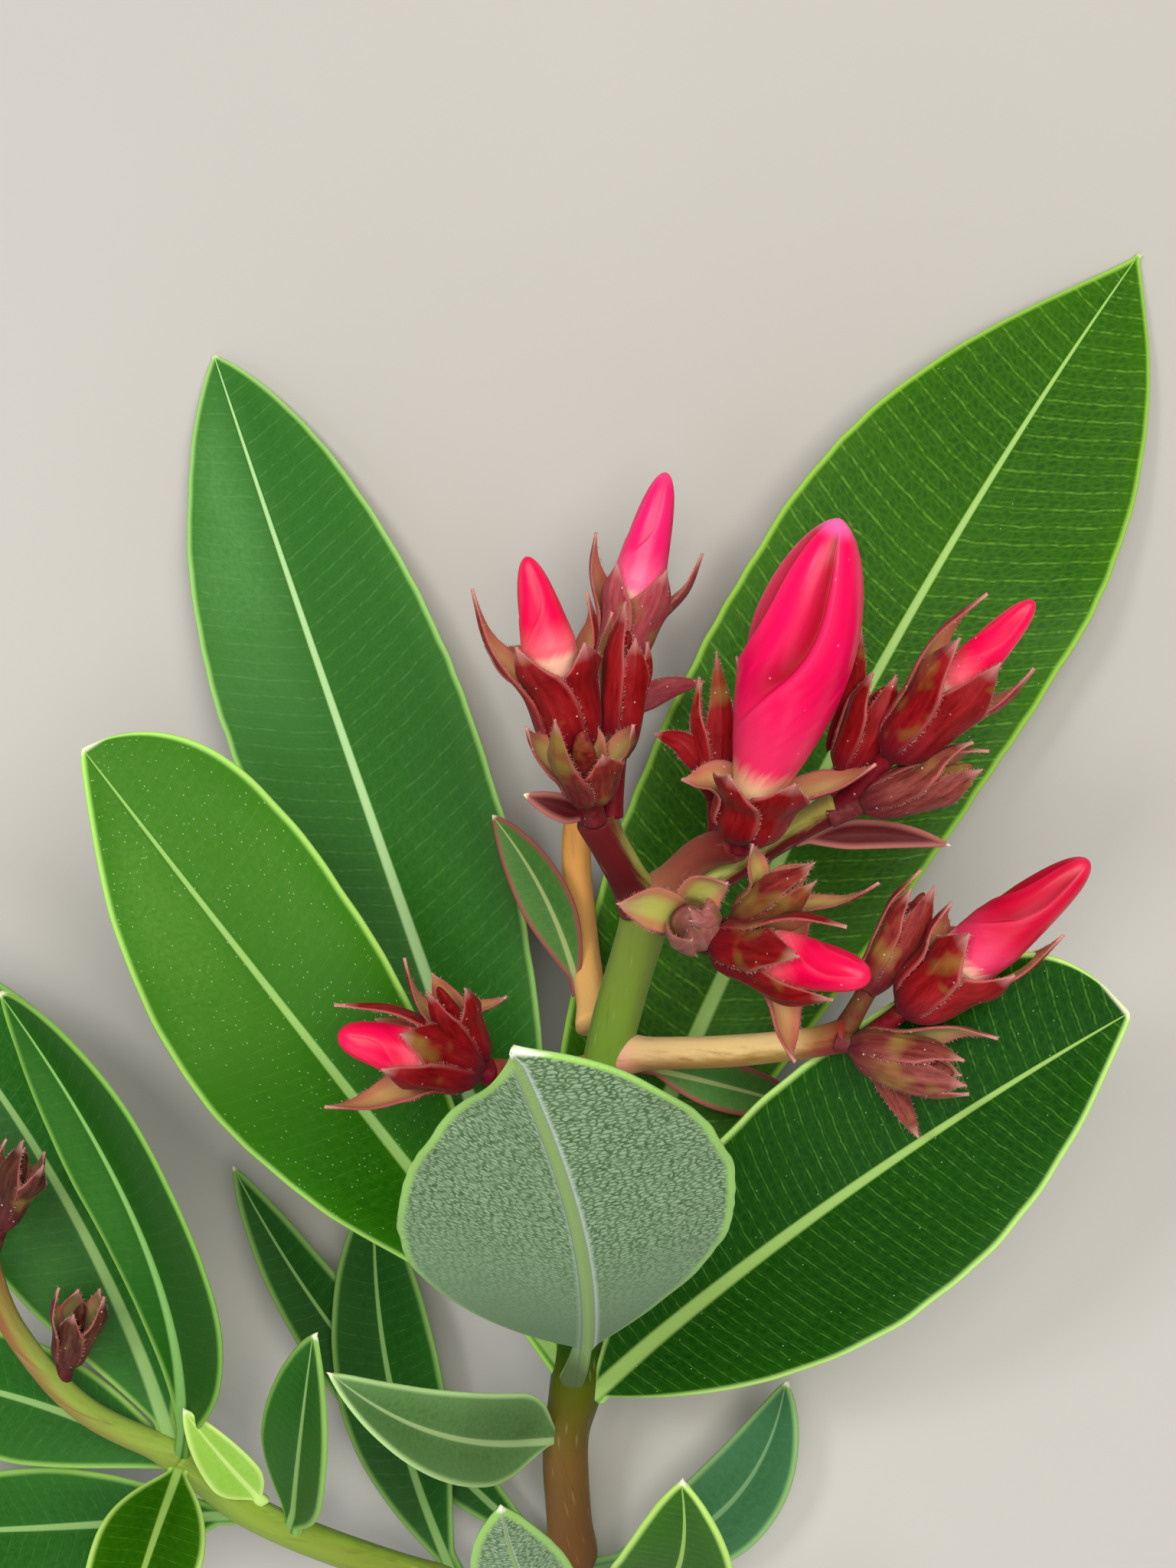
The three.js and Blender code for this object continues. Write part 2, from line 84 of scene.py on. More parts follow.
def bell(x, width):
    """A hump of height 1 round x = 0: exp(-(x / width)^2)."""
    return np.exp(-((x / width) ** 2))


def turns(count):
    """Even angles round a circle, in radians."""
    return 2 * np.pi * np.arange(count) / count


def table(columns, rows, **usual):
    """Each row as a dict. Its values go under the columns' names, and a dict at its end holds
    what is unusual about it."""
    full = {}
    for name, row in rows.items():
        extras = row[-1] if isinstance(row[-1], dict) else {}
        full[name] = {**usual, **dict(zip(columns.split(), row)), **extras}
    return full


# %% [markdown]
# A stalk, a petal's outline and a sepal's outline are all smooth lines through a few points. A
# Catmull-Rom spline goes through its points, so the same points as in the CAD source give the
# same line. It is walked once at a fine step, and then cut again into even lengths.

# %% Smooth lines
def walk(points):
    """How far along the line through the points each of them lies."""
    return np.concatenate([[0], np.cumsum(np.linalg.norm(np.diff(points, axis=0), axis=1))])


def smooth_line(points, count):
    """A Catmull-Rom spline: between two points, each neighbour's half difference is the slope."""
    points = np.asarray(points, float)
    ends = [2 * points[0] - points[1], 2 * points[-1] - points[-2]]
    knots = np.vstack([ends[0], points, ends[1]])
    place = np.linspace(0, len(points) - 1, 12 * count)
    k = np.minimum(place.astype(int), len(points) - 2)
    t = (place - k)[:, None]
    p0, p1, p2, p3 = (knots[k + i] for i in range(4))
    fine = 0.5 * (2 * p1 + (p2 - p0) * t + (2 * p0 - 5 * p1 + 4 * p2 - p3) * t**2
                  + (3 * p1 - p0 - 3 * p2 + p3) * t**3)
    walked = walk(fine)
    even = np.linspace(0, walked[-1], count)
    line = np.stack([np.interp(even, walked, column) for column in fine.T], axis=1)
    return line, even


def waves(places, length, seed, count=4):
    """Smooth unevenness from -1 to 1: a few sines whose lengths and phases are drawn by seed."""
    draw = np.random.default_rng(seed)
    total = 0
    for _ in range(count):
        stretch = length * draw.uniform(0.6, 1.7)
        total = total + np.sin(2 * np.pi * (places / stretch + draw.uniform()))
    return total / count


# %% [markdown]
# Each piece is one or more closed skins. A skin is a stack of rings with as many points in each,
# joined by quads, with a fan of triangles over each end. Marks are numbers that ride on the
# points, such as how far a point is from a leaf's margin, and the materials read them. That way
# a vein pattern follows the leaf round every bend.

# %% Skins and pieces
def mark(*parts):
    """Three numbers for each point, given as arrays that numpy can stretch to one shape."""
    return np.stack(np.broadcast_arrays(*parts), axis=-1)


def ring_about(middle, ahead, side, reach, columns):
    """Round rings: reach times (cos, sin) of the turn, along side and along ahead x side."""
    turn = turns(columns)[:, None]
    out = np.cos(turn) * side[:, None] + np.sin(turn) * np.cross(ahead, side)[:, None]
    return middle[:, None] + out * reach[..., None]


def ring_skin(rings, marks, under=None):
    """Closes rings (rows, columns, 3), each anticlockwise about the way they run, into a skin.
    under says for each column whether its faces take the second material."""
    rows, columns = rings.shape[:2]
    here = np.arange(rows - 1)[:, None] * columns + np.arange(columns)
    beside = np.arange(rows - 1)[:, None] * columns + (np.arange(columns) + 1) % columns
    quads = np.stack([here, beside, beside + columns, here + columns], axis=-1).reshape(-1, 4)
    first = np.full(columns, rows * columns)
    fans = np.vstack([
        np.stack([first, beside[0], here[0]], axis=1),
        np.stack([first + 1, here[-1] + columns, beside[-1] + columns], axis=1),
    ])

    def with_ends(values):
        values = np.broadcast_to(values, (rows, columns, 3))
        return np.vstack([values.reshape(-1, 3), values[0].mean(0), values[-1].mean(0)])

    slots = np.zeros(columns, int) if under is None else under.astype(int)
    return {
        "points": with_ends(rings),
        "faces": quads.tolist() + fans.tolist(),
        "slots": np.tile(slots, rows + 1),
        "marks": {name: with_ends(values) for name, values in marks.items()},
    }


def put(name, data):
    """A new object at the origin."""
    thing = bpy.data.objects.new(name, data)
    bpy.context.scene.collection.objects.link(thing)
    return thing


def make_piece(name, skins, materials):
    """Joins skins into one object that replaces its CAD node and rides on the root body."""
    faces = []
    start = 0
    for skin in skins:
        faces += [[start + corner for corner in face] for face in skin["faces"]]
        start += len(skin["points"])
    points = (np.vstack([skin["points"] for skin in skins]) - MIDDLE) * MM
    mesh = bpy.data.meshes.new(name)
    mesh.from_pydata(points, [], faces)
    for material in materials:
        mesh.materials.append(material)
    mesh.polygons.foreach_set("material_index", np.concatenate([skin["slots"] for skin in skins]))
    for key in skins[0]["marks"]:
        values = np.vstack([skin["marks"][key] for skin in skins])
        layer = mesh.attributes.new(key, "FLOAT_VECTOR", "POINT")
        layer.data.foreach_set("vector", values.astype(np.float32).ravel())
    mesh.shade_smooth()
    mesh.update()
    piece = put(f"{name}_skin", mesh)
    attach(piece, "root")
    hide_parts(name)


# %% [markdown]
# A material is a small graph of nodes. One helper adds a node with its settings and links, so
# that each material reads as a list of what it is made of. Colours are laid over one another
# like glazes: masks say how much of the next colour covers what lies below. A mask that is not
# needed twice stands in the list of glazes as the kind of its node and what goes in: a value,
# the value's two ends, and how much of the colour each end gets.

# %% Material helpers
# Every kind of node that is used here, with the settings that go with it.
KINDS = {
    "coordinates": ("TexCoord", {}),
    "attribute": ("Attribute", {}),
    "parts": ("SeparateXYZ", {}),
    "noise": ("TexNoise", {}),
    "wave": ("TexWave", {}),
    "cells": ("TexVoronoi", {}),
    "borders": ("TexVoronoi", {"voronoi_dimensions": "2D", "feature": "DISTANCE_TO_EDGE"}),
    "tones": ("ValToRGB", {}),
    "even": ("MapRange", {}),
    "eased": ("MapRange", {"interpolation_type": "SMOOTHSTEP"}),
    "size": ("Math", {"operation": "ABSOLUTE"}),
    "above": ("Math", {"operation": "GREATER_THAN"}),
    "larger": ("Math", {"operation": "MAXIMUM"}),
    "times": ("Math", {"operation": "MULTIPLY"}),
    "times plus": ("Math", {"operation": "MULTIPLY_ADD"}),
    "stretch": ("VectorMath", {"operation": "MULTIPLY"}),
    "stretch plus": ("VectorMath", {"operation": "MULTIPLY_ADD"}),
    "mix": ("Mix", {"data_type": "RGBA"}),
    "relief": ("Bump", {}),
}


def plug(tree, value, socket):
    """Links a node or a socket to the socket, or sets it to a value or a hex colour."""
    if isinstance(value, str):
        value = linear(value)
    if isinstance(value, bpy.types.Node):
        value = value.outputs[0]
    if isinstance(value, bpy.types.NodeSocket):
        tree.links.new(value, socket)
    else:
        socket.default_value = value


def add(tree, kind, inputs=(), stops="", **named):
    """Adds one node. inputs go to its sockets in order, or by number, and named ones by name.
    stops fill a colour ramp: a place and a colour by turns."""
    node_type, settings = KINDS[kind]
    node = tree.nodes.new(f"ShaderNode{node_type}")
    for name, value in settings.items():
        setattr(node, name, value)
    sockets = dict(inputs) if isinstance(inputs, dict) else dict(enumerate(inputs))
    sockets.update((name.replace("_", " "), value) for name, value in named.items())
    for socket, value in sockets.items():
        plug(tree, value, node.inputs[socket])
    words = stops.split()
    for i, (place, colour) in enumerate(zip(words[::2], words[1::2])):
        spots = node.color_ramp.elements
        spot = spots[i] if i < 2 else spots.new(float(place))
        spot.position = float(place)
        spot.color = linear(colour)
    return node


def glaze(tree, colour, layers):
    """Lays colours over one another. Each layer is a colour and the masks whose product says how
    much of it shows. A mask is a node, or a tuple of a node's kind and its inputs."""
    for over, *masks in layers:
        nodes = [add(tree, m[0], m[1:]) if isinstance(m, tuple) else m for m in masks]
        mask = nodes[0]
        for other in nodes[1:]:
            mask = add(tree, "times", [mask, other])
        colour = add(tree, "mix", {0: mask, 6: colour, 7: over}).outputs[2]
    return colour


def mark_of(tree, name):
    """The three numbers of a mark, as three sockets, and the mark itself as a vector."""
    node = add(tree, "attribute")
    node.attribute_name = name
    vector = node.outputs["Vector"]
    return [*add(tree, "parts", [vector]).outputs, vector]


def specks(tree, at, scale, near, far, strength, share):
    """Two masks: a dot in each Voronoi cell, fading from near to far, and a share of the cells."""
    cells = add(tree, "cells", Vector=at, Scale=scale)
    lot = add(tree, "parts", [cells.outputs["Color"]])
    return ("even", cells, near, far, strength, 0.0), ("above", lot, 1 - share)


def new_material(name):
    """A material and its tree, which starts with one Principled shader."""
    material = bpy.data.materials.new(name)
    material.use_nodes = True
    return material, material.node_tree


def dress(material, relief=None, **sockets):
    """Fills the shader's sockets. relief is a height, its strength, and its depth in metres."""
    tree = material.node_tree
    if relief:
        height, strength, depth = relief
        sockets["Normal"] = add(tree, "relief", Height=height, Strength=strength, Distance=depth)
    for name, value in sockets.items():
        plug(tree, value, tree.nodes["Principled BSDF"].inputs[name.replace("_", " ")])
    return material


# %% [markdown]
# ## Camera, floor and light
#
# The photograph looks down into the shoot from a hand's width above it, so the near leaf looms
# large. The camera stands 220 mm over the flowers' level, straight above the frame's middle, and
# 15.36 pixels of the 1536 x 2048 frame are one millimetre there. The floor is plain and pale,
# and two wide soft lights and a pale sky give the even light of an open shade. A small third
# light draws the glints on the buds.

# %% Camera
CAMERA_OVER_LEVEL = 220.0
LEVEL = 12.0
PIXELS_PER_MM = 15.36
FRAME_HEIGHT = 2048
SENSOR = 36.0

camera_data = bpy.data.cameras.new("camera")
camera_data.sensor_width = SENSOR
camera_data.lens = SENSOR * CAMERA_OVER_LEVEL * PIXELS_PER_MM / FRAME_HEIGHT
camera_data.clip_start = 0.01
camera = put("camera", camera_data)
camera.location = (np.array([0, 0, CAMERA_OVER_LEVEL + LEVEL]) - MIDDLE) * MM
bpy.context.scene.camera = camera
bpy.context.scene.view_settings.view_transform = "Standard"
print("lens:", round(camera_data.lens, 2), "mm")

# %% Floor and lights
FLOOR_HALF = 1.5
FLOOR_BELOW = 0.0002
AIM = (0, 0, 0.02)

floor_mesh = bpy.data.meshes.new("floor")
corners = [(x * FLOOR_HALF, y * FLOOR_HALF, -FLOOR_BELOW)
           for x, y in ((-1, -1), (1, -1), (1, 1), (-1, 1))]
floor_mesh.from_pydata(corners, [], [(0, 1, 2, 3)])
floor = put("floor", floor_mesh)

# Painted board: matt, with the faintest mottle.
paint, tree = new_material("painted board")
board = add(tree, "coordinates").outputs["Object"]
mottle = add(tree, "noise", Vector=board, Scale=9.0, Detail=4.0)
tone = add(tree, "tones", [mottle], stops="0.3 #b6b3ae 0.7 #bcb9b4")
floor_mesh.materials.append(dress(paint, Base_Color=tone, Roughness=0.85))


def soft_light(name, place, side, power, colour):
    """A square area light at place (metres), turned to face AIM."""
    data = bpy.data.lights.new(name, "AREA")
    data.size = side
    data.energy = power
    data.color = linear(colour)[:3]
    light = put(name, data)
    back = np.array(place) - np.array(AIM)
    pitch = math.atan2(math.hypot(back[0], back[1]), back[2])
    light.rotation_euler = (pitch, 0, math.atan2(back[0], -back[1]))
    light.location = place


soft_light("key", (0.12, 0.1, 0.85), 0.6, 7.3, "#fffaf0")
soft_light("fill", (-0.25, -0.65, 0.5), 0.8, 3.4, "#eef4ff")
soft_light("glint", (-0.2, 0.16, 0.5), 0.1, 0.8, "#ffffff")
world = bpy.data.worlds.new("open shade")
world.use_nodes = True
world.node_tree.nodes["Background"].inputs["Color"].default_value = linear("#f2f4f6")
world.node_tree.nodes["Background"].inputs["Strength"].default_value = 0.16
bpy.context.scene.world = world

# %% [markdown]
# ## The stalks
#
# An oleander's stem is green and smooth while it is young and turns tan and red-brown below the
# leaves. A stalk is a round section carried along a smooth line. Its radius thins evenly, swells
# a little where it leaves the limb below it and where it forks, and has faint lengthwise ribs.

# %% Where the stalks run
# Points on each stalk's line, and its radius at the foot and at the head.
STALKS = {
    "main_stem": ([(-1.8, -77.2, 2), (-1.5, -68.3, 4.8), (-2, -57.2, 8.8), (-1, -50.7, 11.3),
                   (0.1, -36.9, 15.8), (1.4, -22.9, 20.5), (4.9, -9.5, 25.5)], 2.0, 1.9),
    "left_stalk": ([(4.3, -9.5, 26), (1.9, -5.2, 28.5), (0.6, -2.7, 30)], 1.6, 1.4),
    "back_stalk": ([(0.6, -19.9, 19), (-0.4, -13.3, 14), (-1, -4.9, 12), (0.3, 2.9, 12),
                    (1.9, 8.1, 12.5)], 1.3, 1.2),
    "middle_stalk": ([(5.7, -8.9, 26), (8.8, -5.6, 29), (11.5, -4.5, 31.5)], 1.5, 1.3),
    "right_stalk": ([(6.8, -9.8, 26.5), (13.9, -5, 29), (19.4, -1.6, 31.6)], 1.2, 1.1),
    "front_stalk": ([(6.1, -10.4, 27), (7.5, -11, 32), (9.1, -11.7, 36)], 1.3, 1.1),
    "right_side_stalk": ([(2.9, -22, 21), (10.4, -21.2, 27), (16.7, -20.1, 31.5),
                          (20.1, -19.1, 34.2)], 1.35, 1.15),
    "left_side_stalk": ([(0, -23.5, 20.5), (-4.1, -23, 26), (-7.7, -22.6, 30)], 1.1, 1.0),
    "side_shoot": ([(-1.8, -72.7, 3.6), (-11.2, -69.9, 6.5), (-19.7, -66.6, 9),
                    (-28.4, -62, 12), (-34.5, -56.4, 14.5)], 1.5, 1.4),
    "side_shoot_end": ([(-34.5, -56.4, 14.5), (-41.9, -51.9, 17), (-46.9, -44.9, 20),
                        (-49, -38.3, 22)], 1.2, 0.9),
}
# Where the main stem is thickened by the whorls of leaves, in mm from its cut, and how far.
STEM_NODES = [(4.5, 1.6), (10.5, 1.8), (27.5, 2.6)]

# %% [markdown]
# The colour of a stalk changes along it, and the side that the sun reached has flushed red. Both
# are given: a few tones along the length for the shaded side, a few for the flushed side,
# and the direction that the flush faces.

# %% How the stalks are coloured
STALK_TONES = {
    "main_stem": (
        "0 #8a7a3a 0.12 #94a050 0.3 #98b46c 0.36 #8cac50 0.42 #2c5800 0.62 #64921e 0.8 #80ac48"
        " 1 #90b858",
        "0 #7a4a28 0.12 #8a5a34 0.28 #7a5a28 0.38 #505400 0.44 #285000 0.62 #567c12 0.8 #709830"
        " 1 #849440", (0.1, 0, 0.9)),
    "left_stalk": ("0 #8a8a3c 0.5 #97a04e 1 #7a6430", "0 #7a3428 0.3 #541014 1 #641418",
                   (-0.6, -0.1, 0.75)),
    "back_stalk": ("0 #e8b070 0.5 #e09c58 1 #c07050", "0 #f0bc74 0.5 #eca858 1 #b0503c",
                   (-0.6, 0, 0.5)),
    "middle_stalk": ("0 #a06c48 0.5 #985c44 1 #84382c", "0 #a87050 0.4 #944c3c 1 #701c1a",
                     (-0.5, 0.2, 0.4)),
    "right_stalk": ("0 #b0bc60 0.6 #b0b460 1 #a09048", "0 #802420 0.4 #5c0c10 1 #5c0810",
                    (0.5, -0.8, -0.1)),
    "front_stalk": ("0 #8f8a3c 1 #8a3c2c", "0 #9a4a34 1 #7a201c", (-0.3, -0.6, 0.3)),
    "right_side_stalk": (
        "0 #f0a898 0.12 #f0c890 0.5 #f4d490 0.75 #f0cc8c 0.88 #b88850 1 #8a2420",
        "0 #e89888 0.12 #c8945c 0.5 #b08440 0.75 #9c7a38 0.88 #903830 1 #701010",
        (0, -0.9, -0.3)),
    "left_side_stalk": ("0 #b07c3a 1 #8a3a2c", "0 #a86a34 1 #7c2420", (0, -0.6, 0.4)),
    "side_shoot": ("0 #8a9a40 0.5 #7f9e34 1 #8fb048", "0 #7c8c34 0.5 #7a8a30 1 #84a03c",
                   (0, -0.6, 0.4)),
    "side_shoot_end": ("0 #84a03c 0.6 #8a9a44 1 #8a5a34", "0 #7c9038 0.6 #8a6a34 1 #843428",
                       (-0.6, 0, 0.1)),
}


def stalk_material(name):
    """Young stem skin: satin, green to tan, with fine lengthwise streaks and pale pores."""
    shaded, flushed, _ = STALK_TONES[name]
    material, tree = new_material(f"stem skin, {name}")
    _, flush, share, _ = mark_of(tree, "limb")
    around = mark_of(tree, "turned")[3]
    streaks = add(tree, "noise", Vector=around, Scale=1.6, Detail=5.0, Roughness=0.62)
    patchy = add(tree, "times plus", [streaks, 0.5, flush])
    pores = add(tree, "cells", Vector=around, Scale=1.1)
    colour = glaze(tree, add(tree, "tones", [share], stops=shaded), [
        (add(tree, "tones", [share], stops=flushed), ("eased", patchy, 0.55, 0.95)),
        ("#3c3404", ("even", streaks, 0.55, 0.8, 0.0, 0.35)),
        ("#e2d6a8", ("even", pores, 0.08, 0.2, 0.12, 0.0)),
    ])
    return dress(material, (streaks, 0.5, 0.00012), Base_Color=colour, Roughness=0.5, IOR=1.42,
                 Specular_IOR_Level=0.2, Sheen_Weight=0.04, Sheen_Roughness=0.5)


# %% Stalks
STALK_SIDES = 40
STALK_STEP = 0.35
# Swellings: how large a part of the radius, and how many mm long.
FOOT_FLARE = (0.28, 1.6)
HEAD_FLARE = (0.168, 1.8)
NODE_SWELL = 0.16
RIBS = 5
RIB_HEIGHT = 0.025
UNEVEN = (0.012, 9.0)
STREAK_WIDTH = 1.4
STREAK_SHIFT = 0.22 * np.array([1.0, 0.7, 0.4])


def stalk(name):
    """A tube whose radius is the even taper times (1 + flare at both ends + faint ribs)."""
    line, thick, thin = STALKS[name]
    middle, walked = smooth_line(line, int(walk(line)[-1] / STALK_STEP) + 12)
    share = walked / walked[-1]
    ahead = unit(np.gradient(middle, axis=0))
    side = unit(np.array([1.0, 0, 0]) - ahead * ahead[:, :1])
    radius = blend(thick, thin, share)
    swell = 1 + HEAD_FLARE[0] * bell(walked[-1] - walked, HEAD_FLARE[1])
    if name == "main_stem":
        swell += sum(NODE_SWELL * bell(walked - knot, width) for knot, width in STEM_NODES)
    else:
        swell += FOOT_FLARE[0] * bell(walked, FOOT_FLARE[1])
    swell += UNEVEN[0] * waves(walked, UNEVEN[1], seed=3)
    swell = swell[:, None] + RIB_HEIGHT * np.cos(RIBS * turns(STALK_SIDES))
    rings = ring_about(middle, ahead, side, radius[:, None] * swell, STALK_SIDES)
    outward = unit(rings - middle[:, None])
    flush = outward @ unit(STALK_TONES[name][2]) * 0.5 + 0.5
    turned = outward * radius[:, None, None] * STREAK_WIDTH + STREAK_SHIFT * walked[:, None, None]
    limb = mark(walked[:, None], flush, share[:, None])
    return ring_skin(rings, {"limb": limb, "turned": turned})


for name in STALKS:
    make_piece(name, [stalk(name)], [stalk_material(name)])
print("stalks:", len(STALKS))

# %% [markdown]
# ## The leaves
#
# An oleander leaf is a narrow, leathery spindle with a strong pale midrib, many fine veins that
# leave it almost square, and a pale rim. Each leaf here is a closed blade: sections across a
# bowed midrib, each folded up into a shallow V. The two faces lie half a millimetre apart, the
# margin is round, and the midrib stands out beneath. The same widths and folds as in the CAD
# source keep each leaf in its place.
#
# A leaf's finish is the name of its skin, and its midrib runs from foot to tip. The width is in
# mm, and so are bow and arch, which bend the midrib to the right and up. fold and roll are
# angles at the foot and at the tip. base and widest are shares of the length, heel and point the
# powers that round the two ends. veins is how far the veins lean on each side, and rib is half
# the midrib's width at the foot and at the tip.

# %% Where the leaves are
LEAVES = table("finish foot tip width bow arch widest fold", {
    "leaf_front": ("left high", (-0.8, -50.8, 12), (-4.5, -15.5, 80), 24.6, 2.2, 1, 0.49, (14, 14),
                   dict(roll=(175, 201), base=0.17, heel=0.54, point=0.7, skew=-0.88,
                        sway=-0.62, rib=(0.52, 0.36))),
    "leaf_left_low": ("left low", (-1.5, -50.1, 11), (-38.3, 2.7, 36), 18.9, 0.1, 1.5, 0.64,
                      (10, 14), dict(heel=1.3, point=0.56, skew=0.69, sway=0.34, base=0.06)),
    "leaf_right_low": ("right low", (0.5, -51.8, 11.5), (40.6, -17.1, 38), 21.6, -1.5, 0.6, 0.55,
                       (12, 14), dict(heel=0.8, point=0.45, skew=-0.75, sway=-0.18)),
    "leaf_left_high": ("left high", (-1.7, -50.3, 10), (-33.5, 38.4, 0.2), 21.1, -0.2, 1.8, 0.62,
                       (8, 8), dict(heel=1.35, point=0.84, skew=0.11, sway=-0.5)),
    "leaf_right_high": ("right high", (-0.2, -43.8, 13), (49.4, 47.5, 0.2), 28.2, -3.3, 0.8, 0.64,
                        (8, 8), dict(heel=0.6, point=1.1, skew=0.29, sway=0.33,
                                     veins=(0.12, 0.42))),
    "bract_leaf_left": ("bract", (-0.7, -17.6, 16.5), (-8, -2.6, 15), 5, 1, 0.2, 0.5, (25, 25),
                        dict(roll=(0, 20))),
    "bract_leaf_right": ("bract", (4.2, -23.2, 19), (18.3, -27, 17), 4.5, -0.2, 0.5, 0.5, (20, 20)),
    "leaf_curled": ("curled", (-2.4, -56.2, 9), (-19.4, -44.2, 38), 9.2, -2.1, 1, 0.34, (25, 35),
                    dict(roll=(-20, -20), sway=-0.4)),
    "leaf_low_front": ("low", (-1.7, -74, 3.5), (-6.2, -51.4, 48), 8.2, -1, 1.5, 0.5, (15, 15),
                       dict(roll=(180, 180))),
    "leaf_low_right": ("bright", (-0.6, -72.6, 4.5), (6.9, -51.2, 42), 11, 3.8, 2, 0.5, (15, 15)),
    "leaf_low_side": ("low side", (0, -68.9, 5), (17.3, -51.9, 7), 8, 4.6, -1, 0.5, (10, 10),
                      dict(roll=(0, 20))),
    "leaf_low_back": ("low", (-11.2, -69.9, 6.5), (-18.6, -35, 6), 9.5, -2.4, -1, 0.5, (10, 10)),
    "leaf_low_left": ("low", (-2.2, -68.7, 4.5), (-31, -33.4, 6), 7.2, -2.7, -1.2, 0.5, (10, 10)),
    "side_leaf_back": ("side", (-34.8, -55.7, 14.5), (-60.4, -13.4, 12), 17, 3.2, 1.8, 0.5,
                       (12, 12)),
    "side_leaf_folded": ("folded", (-34.4, -55.9, 15), (-45, -15.9, 34), 17, 5, 5.5, 0.64,
                         (30, 30), dict(roll=(25, 25), sway=-0.2, left=0.42)),
    "side_leaf_left": ("side", (-33, -58.2, 13.6), (-66.7, -51.2, 6), 11, 2.5, 1, 0.5, (12, 12)),
    "side_leaf_low": ("side", (-29, -61.8, 12.2), (-64.4, -65.6, 5), 11, -0.3, 0.5, 0.5, (12, 12)),
    "side_leaf_front": ("bright", (-34.2, -57.2, 14.2), (-37.5, -71, 32), 9.5, 0, 2, 0.5, (20, 20)),
    "side_leaf_edge": ("side", (-25.2, -63.9, 10.7), (-20.9, -42.1, 34), 8.4, 0, 1, 0.45, (14, 14),
                       dict(roll=(40, 40))),
    "side_leaf_young": ("young", (-27.6, -60.8, 12.5), (-33, -51, 21), 5, 0, 0.5, 0.4, (30, 30)),
    "bract_left": ("red bract", (0.1, -2.6, 30), (-5, -0.8, 32), 2.4, 0, 0.6, 0.4, (20, 20)),
    "bract_right": ("red bract", (16.3, -4.6, 29.5), (28.2, -4.8, 31), 2.6, -0.8, 0.5, 0.4,
                    (25, 25)),
}, roll=(0, 0), base=0, heel=1.15, point=0.78, skew=0, sway=0, left=1, veins=(0.3, 0.3), rib=None)

# %% [markdown]
# A blade's section runs over its upper face from the left margin to the right and back beneath.
# Its points lie closest together at the margins and the midrib, where the surface turns most:
# half a cosine wave on each side gives that. How a section bends is a function of its own, so
# that a leaf can fold like a V and a sepal can wrap round its cup like an arc.

# %% Blades
def by_side(w, pair):
    """The pair's first value left of the middle line, where w is below 0, its second right."""
    left, right = (np.asarray(part)[..., None] for part in pair)
    return np.where(w < 0, left, right)


def blade_rings(middle, side, up, reach, thickness, bend, half_points):
    """Sections across a line. w runs from -1, the left margin, to 1; the thickness at w is
    sqrt(1 - |w|^n), which is flat in the middle and round at the margin."""
    packed = (1 - np.cos(np.pi * np.linspace(0, 1, half_points))) / 2
    over = np.concatenate([-packed[::-1], packed[1:]])
    w = np.concatenate([over, over[-2:0:-1]])
    face = np.concatenate([np.ones(over.size), -np.ones(over.size - 2)])
    half = by_side(w, reach)
    across = w * half
    flat = 1 + 2 * half / thickness[:, None]
    height = face * 0.5 * thickness[:, None] * np.sqrt(np.clip(1 - np.abs(w) ** flat, 0, 1))
    sideways, upwards = bend(across, height, w, face)
    rings = middle[:, None] + side[:, None] * sideways[..., None] + up[:, None] * upwards[..., None]
    under = np.arange(w.size) >= over.size - 1
    return rings, across, w, face, under


# %% Leaves
SKEW_POWER = 6
TIP_SHARE = 0.02
PETIOLE_HALF_WIDTH = 1.1
PETIOLE_THICKNESS = 1.6
BLADE_THICKNESS = 0.45
FOLD_FILLET = 0.7
VEIN_CURVE = 0.012
FULL_WIDTH = 24
# In a leaf of the full width, in mm: how far the margin ripples and how far it curls down, and
# how far the midrib is sunk above and stands out below.
RIPPLE = 0.35
RIM_CURL = 0.35
RIB_SUNK = 0.16
RIB_OUT = 0.75
# Waves of the margin: their length in mm, their height as a share of the leaf's reach, and what
# is added to the leaf's seed; and then length and seed of the ripple, left and right.
NOTCHES = [(5.0, 0.006, 50), (12.0, 0.007, 90)]
RIPPLES = [(16.0, 0), (19.0, 30)]


def half_width(u, blade):
    """A spindle: a sine rise from the base to the widest place, then a power fall to the tip,
    never narrower than the petiole."""
    widest, base, point = blade["widest"], blade["base"], blade["point"]
    s = np.clip((u - base) / (widest - base), 0, 1)
    rise = np.sin(np.pi / 2 * s) ** blade["heel"]
    fall = (u / widest) ** (point * widest / (1 - widest)) * ((1 - u) / (1 - widest)) ** point
    swell = np.where(u < widest, rise, fall)
    petiole = min(PETIOLE_HALF_WIDTH, blade["width"] / 7) * (1 - u) ** 2
    return np.maximum(blade["width"] / 2 * np.maximum(swell, TIP_SHARE), petiole)


